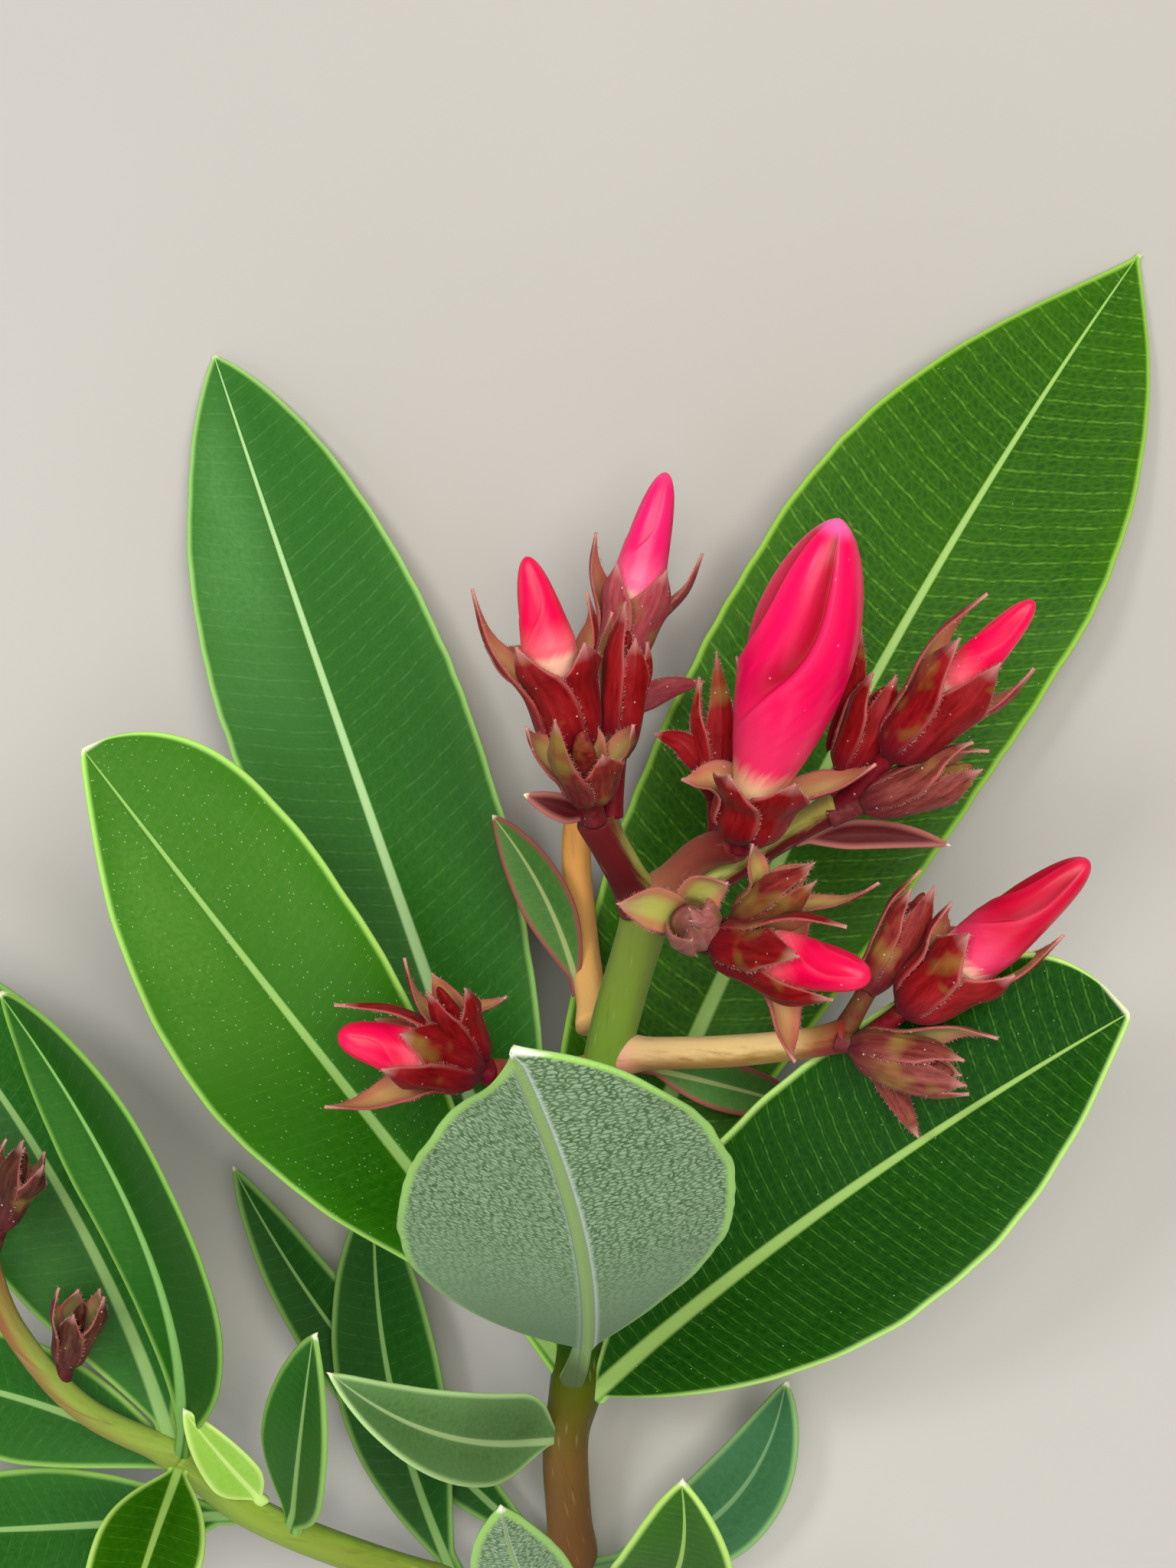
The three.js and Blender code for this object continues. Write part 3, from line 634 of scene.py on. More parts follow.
def leaf_form(blade, rows):
    """The midrib foot + chord u + (bow right + arch above) 4u(1 - u), the rolled ways across and
    up from it, and how far the blade reaches to the left and the right. skew widens the right
    half toward the tip, sway widens the left half toward the foot, and left narrows it."""
    even = np.linspace(0, 1, rows)
    u = 0.55 * even + 0.45 * (1 - np.cos(np.pi * even)) / 2
    foot = np.array(blade["foot"], float)
    chord = np.array(blade["tip"]) - foot
    right = unit(np.cross(unit(chord), UP))
    above = np.cross(right, unit(chord))
    swing = right * blade["bow"] + above * blade["arch"]
    middle = foot + chord * u[:, None] + swing * (4 * u * (1 - u))[:, None]
    ahead = unit(chord + swing * (4 * (1 - 2 * u))[:, None])
    level = unit(right - ahead * (ahead @ right)[:, None])
    turn = np.radians(blend(*blade["roll"], u))[:, None]
    side = level * np.cos(turn) + np.cross(level, ahead) * np.sin(turn)
    half = half_width(u, blade)
    lean = blade["skew"] * u**SKEW_POWER - blade["sway"] * (1 - u) ** 2
    reach = [half * blade["left"] * (1 - lean), half * (1 + lean)]
    return u, u * np.linalg.norm(chord), middle, side, np.cross(side, ahead), reach


def leaf(blade, seed, rows, half_points):
    """Each section of the form is folded into a V with a round bottom, rippled along its margins
    and thickened under the midrib."""
    width = blade["width"]
    u, walked, middle, side, up, reach = leaf_form(blade, rows)
    broad = ease(0.15, 0.4, u) * ease(1.0, 0.9, u)
    notches = sum(deep * waves(walked, length, seed + more) for length, deep, more in NOTCHES)
    reach = [reach[0] * (1 + broad * notches), reach[1] * (1 - broad * notches)]
    thickness = blend(min(PETIOLE_THICKNESS, width / 5), min(BLADE_THICKNESS, width / 12),
                      ease(0.0, 0.16, u))
    fold = np.radians(blend(*blade["fold"], u))[:, None]
    size = min(1.0, width / FULL_WIDTH)
    rib_half = 0.05 + (0.15 + 0.67 * size) * (1 - u) ** 0.85
    if blade["rib"]:
        rib_half = blend(*blade["rib"], u) * ease(1.0, 0.97, u) + 0.05
    ripple = [waves(walked, length, seed + more) for length, more in RIPPLES]
    loose = size * broad[:, None]

    def bend(across, height, w, face):
        vee = np.sin(fold) * (np.sqrt(across**2 + FOLD_FILLET**2) - FOLD_FILLET)
        edge = RIPPLE * loose * w**2 * by_side(w, ripple)
        curl = RIM_CURL * loose * np.clip((np.abs(w) - 0.8) / 0.2, 0, 1) ** 2
        keel = np.where(face > 0, RIB_SUNK * size, RIB_OUT * size * (1 - 0.7 * u[:, None]))
        rib = keel * bell(across, 0.9 * rib_half[:, None]) * ease(0.02, 0.12, u)[:, None]
        return across * np.cos(fold), vee + edge - curl - rib + height

    rings, across, w, _, under = blade_rings(middle, side, up, reach, thickness, bend, half_points)
    rings[..., 2] = np.maximum(rings[..., 2], 0.0)
    off = np.abs(across)
    vein = walked[:, None] - by_side(w, blade["veins"]) * off - VEIN_CURVE * across**2
    return ring_skin(rings, {
        "blade": mark(vein, across, by_side(w, reach) - off),
        "place": mark((walked[-1] - walked)[:, None], off / rib_half[:, None], 0.0),
    }, under)


# %% [markdown]
# The upper face of an oleander leaf is a dark, waxy green skin over a paler net of veins. Main
# veins run one or two millimetres apart, nearly square to the midrib, thin as a hair and a little
# wavy, with finer ones between them. The finest net shows as pale lines round dark fields. The
# wave texture draws the veins along the mark that counts millimetres along them, and the distance
# to the edge of a Voronoi cell draws the net.

# %% The leaf's upper face
WAVE_PERIOD = 0.314  # a wave texture of scale 1 repeats after this length


def leaf_upper(name, tones, spacing, vein_strength, net, dusty=0.0, sky=None, sky_right=0.08):
    """Waxy leaf skin. tones are dark, light, vein, midrib and rim, spacing is the distance between
    main veins in mm, and dusty is the share of cells with a speck. sky is the tone of the left
    half toward the tip, where the wax mirrors the open sky, and sky_right is how much of it the
    right half takes."""
    dark, light, vein, rib, rim = tones.split()
    material, tree = new_material(name)
    _, across, margin, at = mark_of(tree, "blade")
    from_tip, rib_share, _, _ = mark_of(tree, "place")
    wave = add(tree, "wave", Vector=at, Scale=WAVE_PERIOD / spacing, Distortion=1.0, Detail=2.0,
               Detail_Scale=2.2, Detail_Roughness=0.55)
    fine_wave = add(tree, "wave", Vector=at, Scale=2 * WAVE_PERIOD / spacing, Distortion=2.6,
                    Detail=2.0, Detail_Scale=2.0, Detail_Roughness=0.6)
    line = add(tree, "eased", [wave, 0.93, 1.0])
    fine_line = add(tree, "eased", [fine_wave, 0.9, 1.0, 0.0, 0.3])
    broken = add(tree, "noise", Vector=at, Scale=1.1, Detail=3.0)
    cells = add(tree, "borders", Vector=at, Scale=1.15)
    netted = add(tree, "even", [cells, 0.02, 0.3, net, 0.0])
    mottle = add(tree, "noise", Vector=at, Scale=1.9, Detail=2.0, Roughness=0.7)
    drift = add(tree, "noise", Vector=at, Scale=0.09, Detail=2.0)
    colour = glaze(tree, dark, [
        (sky or dark, ("eased", across, -4.0, 2.0, 0.85, sky_right),
         ("eased", from_tip, 14.0, 44.0, 1.0, 0.0)),
        (dark if sky else light, ("even", drift, 0.35, 0.7, 0.0, 0.3)),
        (light, ("even", mottle, 0.42, 0.72, 0.0, 0.5)),
        (light, ("eased", margin, 0.0, 3.0, 0.6, 0.0)),
        (light, netted),
        (vein, add(tree, "larger", [line, fine_line]),
         ("even", broken, 0.4, 0.6, 0.2 * vein_strength, vein_strength)),
        (light, ("eased", rib_share, 0.8, 2.6, 0.35, 0.0)),
        (rib, ("eased", rib_share, 0.6, 1.15, 0.95, 0.0)),
        (rim, ("eased", margin, 0.16, 0.7, 1.0, 0.0)),
        ("#bcdca0", *specks(tree, at, 2.3, 0.07, 0.2, 0.6, dusty)),
        ("#e8f0c8", ("eased", from_tip, 0.12, 0.5, 0.85, 0.0)),
    ])
    gloss = add(tree, "even", [mottle, 0.3, 0.75, 0.40, 0.56])
    height = add(tree, "times plus", [mottle, 0.5, netted])
    return dress(material, (height, 0.22, 0.0001), Base_Color=colour, Roughness=gloss, IOR=1.45,
                 Specular_IOR_Level=0.12)


# %% [markdown]
# The underside is another thing: grey-green and dull, because each breathing pore hides in a tiny
# hairy pit. The pits lie between the finest veins, so the whole face is a net of thin dark lines
# round pale fields a third of a millimetre wide, drawn half as large again here so that they
# stay sharp in the picture. The midrib is a smooth olive cord with white down beside it, and the
# rim is lime.

# %% The leaf's underside
def leaf_under(name, dark, light, rib, rim, down):
    """Dull leaf skin: dark lines along the edges of Voronoi cells, broken by slow noise."""
    material, tree = new_material(name)
    _, across, margin, at = mark_of(tree, "blade")
    from_tip, rib_share, _, _ = mark_of(tree, "place")
    warp = add(tree, "noise", Vector=at, Scale=1.4, Detail=2.0).outputs["Color"]
    warped = add(tree, "stretch plus", [warp, (0.7, 0.7, 0.0), at])
    stretched = add(tree, "stretch", [warped, (1.9, 1.6, 0.0)])
    cells = add(tree, "borders", Vector=stretched, Scale=1.0)
    patch = add(tree, "noise", Vector=at, Scale=0.9, Detail=3.0)
    colour = glaze(tree, light, [
        (dark, ("eased", cells, 0.08, 0.3, 1.0, 0.0), ("even", patch, 0.36, 0.62, 0.7, 1.0),
         ("even", from_tip, 38.0, 64.0, 1.0, 0.2)),
        ("#5c7c54", ("even", from_tip, 34.0, 60.0, 0.0, 0.85)),
        (down, ("eased", rib_share, 1.0, 2.0, 1.0, 0.0), ("even", across, -0.2, 0.2, 0.85, 0.3)),
        # Painted shade: a thin dark line on each side of the raised midrib.
        (dark, ("eased", rib_share, 0.95, 1.25, 0.6, 0.0)),
        (rib, ("eased", rib_share, 0.75, 1.02, 1.0, 0.0)),
        (rim, ("eased", margin, 0.3, 0.85, 1.0, 0.0), ("eased", from_tip, 30.0, 56.0, 1.0, 0.4)),
        ("#466018", ("even", from_tip, 63.0, 70.0, 0.0, 0.85)),
        ("#eef2d8", ("eased", from_tip, 0.3, 0.9, 1.0, 0.0)),
    ])
    return dress(material, (cells, 0.4, 0.00015), Base_Color=colour, Roughness=0.75, IOR=1.4,
                 Specular_IOR_Level=0.25, Sheen_Weight=0.08)


# %% Leaf finishes
UPPER = {
    "left low": ("#1c5600 #2e6e02 #5c942c #96c068 #a8dc68", 1.2, 0.14, 0.18, 0.35, "#54882e", 0.62),
    "left high": ("#1c5c0c #347020 #62964c #b0d898 #9cd070", 1.6, 0.25, 0.16, 0.0, "#54904a"),
    # The right low leaf's dark tones are partly its own deep green and partly painted shade.
    "right low": ("#083800 #184c00 #50802c #98bc64 #b4e078", 1.3, 0.55, 0.5, 0.03),
    "right high": ("#1c4c00 #366c00 #609028 #a4cc74 #98cc4c", 1.9, 0.75, 0.5, 0.01),
    "low": ("#0c4000 #1c5410 #3c7030 #7ca45c #7aa454", 1.2, 0.3, 0.2),
    "low side": ("#2c5c30 #40704a #4c7c50 #6c9464 #80a868", 1.2, 0.2, 0.2),
    "side": ("#144c04 #2c6420 #447830 #86ac64 #84b054", 1.2, 0.3, 0.2),
    "folded": ("#104800 #1c5408 #3c7028 #7cac5c #78a848", 1.2, 0.25, 0.15, 0.0, "#40782c"),
    "curled": ("#4a7238 #6f9a5c #7aa068 #b0cc90 #b4d890", 1.1, 0.2, 0.2),
    "bright": ("#1c5000 #306800 #589020 #98bc5c #b8e070", 1.1, 0.3, 0.2),
    "young": ("#88b83c #a0cc58 #a8d068 #c0dc80 #c0e07c", 0.9, 0.3, 0.2),
    "bract": ("#346428 #54843c #749a58 #a0b070 #94524c", 1.0, 0.2, 0.2),
    "red bract": ("#3c040a #561418 #6c2a28 #541a1c #a06058", 0.8, 0.2, 0.2),
}
upper_skins = {key: leaf_upper(f"waxy leaf skin, {key}", *row) for key, row in UPPER.items()}
grey_under = leaf_under("downy leaf underside", "#386428", "#98b48c", "#8cac60", "#9ccc64",
                        "#c8d8c8")
red_under = leaf_under("bract underside", "#4c1416", "#702824", "#7c382c", "#b07068", "#a07068")

# %% Make the leaves
# Sections along a leaf and points on half a section, for leaves wider than 20 mm and the others.
BIG_GRID = (170, 28)
SMALL_GRID = (110, 18)

for seed, (name, blade) in enumerate(LEAVES.items()):
    grid = BIG_GRID if blade["width"] > 20 else SMALL_GRID
    beneath = red_under if blade["finish"] == "red bract" else grey_under
    make_piece(name, [leaf(blade, seed, *grid)], [upper_skins[blade["finish"]], beneath])
print("leaves:", len(LEAVES))

# %% [markdown]
# ## The buds
#
# Each bud points its own way from its pedicel: bearing is clockwise from straight up in the
# picture, and pitch is up from the floor. Its places are shares of its length: the pedicel ends
# at the neck and the calyx tube at the rim. calyx and petals are radii. A bud with a petals
# radius shows its rolled petals, and the others are still closed. taper and widest shape the
# petals, and folds says how strongly they are creased.

# %% Where the buds are
BUDS = table("foot bearing pitch length calyx neck rim", {
    "left_bud": ((0.2, -2.3, 30.5), -14, 20.6, 21.3, 2.7, 0.25, 0.62,
                 dict(petals=2.1, taper=0.55)),
    "left_calyx_back": ((1.9, -1.9, 30), 5, 14.9, 15.6, 1.7, 0.29, 0.75),
    "left_calyx_front": ((0.5, -2.4, 31.5), -9, 40.6, 10, 2.3, 0.2, 0.55),
    "back_bud": ((1.9, 8.1, 12.5), 14.5, 7.6, 18.8, 2.5, 0.1, 0.42, dict(petals=2.3, taper=0.5)),
    "big_bud": ((11.8, -4.6, 32), 15.2, 25.9, 27.5, 3.05, 0.02, 0.2,
                dict(petals=4.15, widest=0.5, folds=1.0)),
    "middle_calyx": ((10.1, -5.1, 30), -1.6, 4.7, 12.3, 1.5, 0.35, 0.75),
    "right_calyx": ((18.8, -1.2, 31), 24.5, 20.7, 11.3, 1.85, 0.25, 0.7),
    "right_bud": ((20, -1.3, 32), 40.8, 27.2, 21.9, 2.55, 0.25, 0.58,
                  dict(petals=1.75, taper=0.45)),
    "right_calyx_long": ((19.3, -2.3, 32), 69.7, 18.7, 12.5, 1.85, 0.2, 0.7),
    "front_calyx": ((7.5, -10.8, 33), 43, 84, 9, 2.1, 0.25, 0.6),
    "front_calyx_upper": ((10.3, -11.1, 36), 50.8, 35.6, 10.3, 1.6, 0.2, 0.6),
    "front_bud": ((9.3, -12, 36.5), 99.8, 40.5, 14.6, 2.3, 0.05, 0.42,
                  dict(petals=2.1, taper=0.35)),
    "right_side_bud": ((21.4, -19.4, 34.5), 47.3, 24.9, 22.5, 2.7, 0.18, 0.46,
                       dict(petals=2.4, widest=0.25, folds=0.6, taper=0.46)),
    "right_side_calyx": ((20, -18.2, 34), 27.7, 17.4, 13.3, 1.6, 0.25, 0.7),
    "right_side_calyx_low": ((19.6, -19.7, 34.5), 105.3, 20.1, 10.2, 2.1, 0.1, 0.6),
    "left_side_bud": ((-8.1, -22.5, 30.5), -72.4, 21.4, 12.3, 2.4, 0.06, 0.45,
                      dict(petals=2.05, taper=0.35)),
    "left_side_calyx": ((-7.8, -22.4, 30), -28.7, 23.8, 9.9, 1.6, 0.15, 0.6),
    "side_shoot_calyx": ((-43.8, -50, 17.5), 19.4, 26.2, 10.2, 1.6, 0.3, 0.7),
    "side_shoot_end_calyx": ((-48.9, -38.5, 21), 23.4, 20.3, 11.5, 1.6, 0.3, 0.7),
}, petals=0, taper=None, widest=0.15, folds=0.3)


def bud_axes(bud):
    """The way a bud points, the level way across it, and the way up from both."""
    bearing, pitch = np.radians([bud["bearing"], bud["pitch"]])
    ahead = np.array([np.sin(bearing) * np.cos(pitch), np.cos(bearing) * np.cos(pitch),
                      np.sin(pitch)])
    side = unit(np.cross(ahead, UP))
    return ahead, side, np.cross(side, ahead)


# %% [markdown]
# The five petals of an oleander bud are rolled round one another like a furled umbrella: each
# has one edge out and one edge tucked under its neighbour. Round the bud, the surface climbs
# slowly across a petal and drops at its free edge. The seams run round the bud near its foot and
# straight up near its tip. The grid is twisted with them, so that each step lies along its lines.

# %% Petals
PETALS = 5
PETAL_ROWS = 170
PETAL_COLUMNS = 40
FOLD_DEPTH = 0.17
# The petals start inside the calyx, at this share of the tube below the rim, and as narrow as
# this share of their own swell.
HIDDEN_SHARE = 0.55
HIDDEN_WIDTH = 0.35
# How far each petal drops behind its neighbour's free edge, and where the first such edge runs:
# share of the way up, and degrees round the bud from its right side.
FOLDS = np.array([1.0, 0.7, 0.08, 0.08, 0.08])
SEAM = [(-0.3, 235), (0, 195), (0.15, 166), (0.27, 138), (0.4, 111), (0.49, 93), (0.58, 81),
        (0.68, 75), (0.8, 75), (1.0, 80)]
# How many noise units the streaks take across a petal and along it.
STREAK_LANES = 2.2
STREAK_LENGTHS = 1.6


def petal_swell(share, widest, taper):
    """A sine rise from the rim to the widest place, then a rounded fall, (1 - t^1.9)^0.62. A bud
    with a taper is a cone with a round end instead: (1 - taper t) sqrt(1 - t^6)."""
    foot = 0.85 - 0.7 * widest if taper is None else 0.96
    rise = foot + (1 - foot) * np.sin(np.pi / 2 * np.clip(share / widest, 0, 1))
    late = np.clip((share - widest) / (1 - widest), 0, 1)
    if taper is None:
        fall = (1 - late**1.9) ** 0.62
    else:
        fall = (1 - taper * late) * np.sqrt(1 - late**6)
    return np.where(share < widest, rise, fall)


def petals(bud):
    """r = swell(s) (1 - step(s) fold(x)), at the angle of the seam plus x/5 of a turn. fold is 1
    just behind the neighbour's free edge, eases to 0 across the petal, and is a little below 0
    at the petal's own free edge."""
    ahead, side, up = bud_axes(bud)
    rim, length = bud["rim"], bud["length"]
    lowest = -HIDDEN_SHARE * (rim - bud["neck"]) / (1 - rim)
    even = np.linspace(0, 1, PETAL_ROWS)
    share = blend(lowest, 1.0, 1 - (1 - even) ** 1.5)
    swell = petal_swell(share, bud["widest"], bud["taper"])
    swell = np.where(share < 0, blend(HIDDEN_WIDTH, swell, 1 - share / lowest), swell)
    swell = np.maximum(swell, 0.03)
    even = np.linspace(0, 1, PETAL_COLUMNS, endpoint=False)
    x = np.tile(even**0.9 * 0.97 + 0.015, PETALS)
    petal = np.repeat(np.arange(PETALS), PETAL_COLUMNS)
    behind = FOLDS[petal] * (1 - ease(0.0, 0.62, x))
    edge = FOLDS[(petal + 1) % PETALS] * ease(0.72, 0.97, x)
    fold = bud["folds"] * (behind - edge)
    step = FOLD_DEPTH * ease(0.12, 0.5, share) * (1 - 0.75 * ease(0.8, 1.0, share))
    height = np.where(fold > 0, fold, 0.25 * fold)
    reach = bud["petals"] * swell[:, None] * (1 - step[:, None] * height)
    curve, _ = smooth_line(SEAM, 200)
    seam = np.radians(np.interp(share, *curve.T))
    turn = seam[:, None] + 2 * np.pi / PETALS * (petal + x)
    middle = np.array(bud["foot"]) + ahead * ((rim + share * (1 - rim)) * length)[:, None]
    out = np.cos(turn)[..., None] * side + np.sin(turn)[..., None] * up
    rings = middle[:, None] + out * reach[..., None]
    from_tip = (1 - share) * (1 - rim) * length
    return ring_skin(rings[:, ::-1], {
        "petal": mark(share[:, None], fold, from_tip[:, None])[:, ::-1],
        "streak": mark((petal + x) * STREAK_LANES, share[:, None] * STREAK_LENGTHS,
                       length)[:, ::-1],
    })


def petal_material(name, tones):
    """Furled petal: satin skin with light passing just under it, cream at the foot, darkest in a
    painted shade where a petal comes out from under its neighbour, palest along its free edge in
    a painted highlight, and at its tip, which on the rose bud is partly a painted highlight."""
    body, deep, pale, foot, tip = tones.split()
    material, tree = new_material(f"furled petal, {name}")
    share, fold, from_tip, _ = mark_of(tree, "petal")
    streak_at = mark_of(tree, "streak")[3]
    streaks = add(tree, "noise", Vector=streak_at, Scale=3.2, Detail=4.0, Roughness=0.6)
    blurred = add(tree, "times plus", [streaks, 0.12, share])
    here = add(tree, "coordinates").outputs["Object"]
    dots = add(tree, "cells", Vector=here, Scale=620.0)
    colour = glaze(tree, body, [
        (deep, ("even", streaks, 0.5, 0.75, 0.0, 0.2)),
        # Painted shade: the deep tone where a petal comes out from under its neighbour's free edge.
        (deep, ("even", fold, 0.0, 0.9, 0.0, 0.95), ("eased", share, 0.25, 0.5)),
        # Painted highlight: the pale tone along each petal's own free edge.
        (pale, ("even", fold, 0.0, -0.8, 0.0, 0.3)),
        (pale, ("eased", blurred, 0.12, 0.5, 0.75, 0.0)),
        (foot, ("eased", blurred, 0.05, 0.17, 1.0, 0.0)),
        # The tip's own tone; on the rose bud its pale pink is partly a painted highlight.
        (tip, ("eased", from_tip, 0.2, 1.4, 0.8, 0.0)),
        ("#ffd0dc", ("even", dots, 0.03, 0.07, 0.4, 0.0)),
    ])
    return dress(material, (streaks, 0.12, 0.0002), Base_Color=colour, Roughness=0.36, IOR=1.4,
                 Specular_IOR_Level=0.45, Subsurface_Weight=0.1, Subsurface_Scale=0.0006,
                 Subsurface_Radius=(1.0, 0.35, 0.4))


# %% Petal finishes
# The body, where it is tucked deep (a painted shade, also the tone of its streaks), its pale
# edge (a painted highlight, also the pale of its lower part), its foot and its tip (on the rose
# bud partly a painted highlight).
PETAL_TONES = {
    "rose": "#f40058 #9c001c #fa3c70 #f4d0a4 #ff70bc",
    "soft rose": "#f4004c #b00030 #fc7c88 #fccab0 #ee1450",
    "crimson": "#c80030 #84001a #ec4474 #f8c8b0 #e02450",
    "pink": "#fa1a70 #d80046 #fd7aa4 #f6c4b0 #fa4080",
}
PETAL_FINISH = {"big_bud": "rose", "right_side_bud": "crimson", "back_bud": "pink"}

petal_skins = {key: petal_material(key, tones) for key, tones in PETAL_TONES.items()}
shown = {name: bud for name, bud in BUDS.items() if bud["petals"] > 0}
for name, bud in shown.items():
    finish = PETAL_FINISH.get(name, "soft rose")
    make_piece(f"{name}_petals", [petals(bud)], [petal_skins[finish]])
print("buds with petals:", len(shown))

# %% [markdown]
# A calyx is a short tube of five pointed sepals that overlap at their edges. Each sepal is a
# blade like a leaf, but its line follows the bud's outline from the pedicel over the swollen cup
# and then stands off, and its section is an arc that wraps round the cup. Inside them is a plain
# core, which carries the petals or is the bud's closed heart.

# %% Where the sepals point
# For each sepal its tip: degrees round the bud from its right side, and mm along and out from
# the bud's axis. Sepals that the camera cannot see are given too, so that each calyx is whole.
SEPALS = {
    "left_bud": [(175, 20, 4.5), (-165, 15, 4.8), (130, 15.5, 3.6), (45, 14.5, 3.7),
                 (0, 17.5, 3.7)],
    "left_calyx_back": [(125, 16.5, 0.6), (70, 14, 1.6), (15, 13.5, 1.5), (-160, 15.4, 1.4),
                        (-90, 14, 1)],
    "left_calyx_front": [(175, 10, 4), (120, 12.5, 3.5), (20, 9.5, 4.1), (65, 8.2, 3),
                         (-90, 9, 2.5)],
    "back_bud": [(180, 12.5, 4.4), (0, 13, 4.6), (130, 10.5, 3.1), (50, 11, 3.1), (-90, 11, 3)],
    "big_bud": [(180, 4, 5.8), (0, 9.5, 8), (120, 7.5, 5.2), (60, 8, 4.6), (-90, 7, 5)],
    "middle_calyx": [(150, 13.5, 1.2), (0, 15, 1.8), (80, 15.5, 1.2), (-150, 13, 1), (-60, 13, 1)],
    "right_calyx": [(70, 11.5, 0.6), (0, 11, 1.3), (140, 11, 1.8), (-160, 10.5, 1.4), (-80, 10, 1)],
    "right_bud": [(180, 20, 2.8), (130, 17, 3.5), (65, 17.5, 2.6), (0, 18, 3.4), (-90, 16, 3)],
    "right_calyx_long": [(180, 12.7, 0.6), (150, 12, 1.9), (70, 12, 1.2), (-150, 11.5, 1.2),
                         (-60, 11, 1)],
    "front_calyx": [(150, 7.5, 6), (-95, 8, 3.6), (70, 9.4, 1.4), (5, 10.2, -1.3),
                    (-40, 10, -0.8)],
    "front_calyx_upper": [(170, 7.5, 4), (100, 11, 1.2), (65, 10.5, 2), (0, 13.4, 3.8),
                          (-90, 9, 1.5)],
    "front_bud": [(-150, 7.5, 3.8), (165, 12.5, 3.3), (100, 10.5, 3.2), (40, 13, 2.6),
                  (0, 9.5, 7.2)],
    "right_side_bud": [(180, 12.5, 3.9), (120, 13, 3.4), (-10, 17, 3.2), (35, 13, 3.4),
                       (-100, 12, 3)],
    "right_side_calyx": [(180, 13.3, 1), (75, 13, 1), (25, 11, 1.9), (135, 12, 1.5), (-90, 11, 1)],
    "right_side_calyx_low": [(180, 11.2, 3.5), (0, 10.2, 1), (140, 9.4, 1.6), (60, 10, 0.8),
                             (-90, 9, 1.5)],
    "left_side_bud": [(0, 13.3, 2), (180, 11.6, 5.6), (60, 8.5, 3), (120, 9, 2.8), (-60, 9, 3)],
    "left_side_calyx": [(180, 12, 1), (0, 5, 4.2), (120, 9.3, 1.4), (40, 8.1, 2.4), (-90, 9, 1.5)],
    "side_shoot_calyx": [(160, 10.5, 2.2), (100, 9, 1.4), (20, 11, 1.6), (-60, 10, 1.5),
                         (-130, 9.5, 1.2)],
    "side_shoot_end_calyx": [(170, 11, 1.8), (110, 12, 1), (40, 11, 2.4), (-40, 10.5, 1.5),
                             (-110, 10, 1.2)],
}
# Scales that stand on the stalk just under some of the flowers: their lines and widths.
BRACTS = {
    "back_bud": ([(2.5, 6, 12.6), (6.3, 7.9, 15.5), (9.8, 8.6, 14.5)], 2.4),
    "big_bud": ([(9.6, 0.6, 30.6), (7.4, 3.1, 31.6), (5.2, 3.9, 30.4)], 2.2),
    "right_calyx": ([(18.6, 2.6, 31), (20.4, 7.1, 33.6), (20.8, 11.9, 35)], 1.7),
    "right_side_calyx_low": ([(21.4, -20.2, 33.8), (23.4, -23.4, 33.2), (25.3, -27.1, 34)], 2.2),
}

# %% [markdown]
# Fine pale hairs stand along the margins of the sepals. In the photograph they blur the edges
# into a soft light line. Each is a cone of four triangles.

# %% Hairs on a margin
HAIRS_PER_MM = 9
HAIR_LENGTH = (0.1, 0.4)
HAIR_RADIUS = 0.018
HAIR_FORWARD = 0.7
HAIR_SCATTER = 0.6


def hairs(line, out, forward):
    """Hairs on a margin. Each is a three-sided cone: a small triangle round its root, and its tip
    one length away along out + forward + a seeded scatter."""
    draw = np.random.default_rng(int(abs(line).sum()))
    count = int(walk(line)[-1] * HAIRS_PER_MM)
    place = draw.uniform(0.1, 1, count) * (len(line) - 1)
    low = np.minimum(place.astype(int), len(line) - 2)
    part = (place - low)[:, None]
    root, out, forward = (blend(a[low], a[low + 1], part) for a in (line, out, forward))
    scatter = draw.normal(0, HAIR_SCATTER, (count, 3))
    lean = unit(unit(out) + HAIR_FORWARD * forward + scatter)
    tip = root + lean * draw.uniform(*HAIR_LENGTH, (count, 1))
    side = unit(np.cross(lean, UP + 0.1))
    rim = [root + HAIR_RADIUS * (np.cos(turn) * side + np.sin(turn) * np.cross(lean, side))
           for turn in turns(3)]
    points = np.stack([*rim, tip], axis=1).reshape(-1, 3)
    corners = np.array([[0, 1, 3], [1, 2, 3], [2, 0, 3], [0, 2, 1]])
    faces = (4 * np.arange(count)[:, None, None] + corners).reshape(-1, 3)
    blank = np.zeros_like(points)
    return {"points": points, "faces": faces.tolist(), "slots": np.ones(len(faces), int),
            "marks": {"sepal": blank, "grain": blank}}


# %% Sepals
SEPAL_ROWS = 48
SEPAL_HALF_POINTS = 9
SEPAL_THICKNESS = 0.36
OVERLAP = math.radians(11)
SEPAL_WIDTH_SHARE = 1.35
# Where the cup is widest, as a share of its tube, and how far a sepal bulges beyond it, as a
# share of its free length.
SHOULDER = 0.68
BULGE = 0.09
MIDRIB_HEIGHT = 0.1
MIDRIB_HALF_WIDTH = 0.22
# How many noise units a millimetre makes across and along a sepal, and from one to the next.
GRAIN = (1.4, 0.28, 3.7)
BRACT_ROWS = 36
BRACT_HALF_POINTS = 7
BRACT_THICKNESS = 0.3


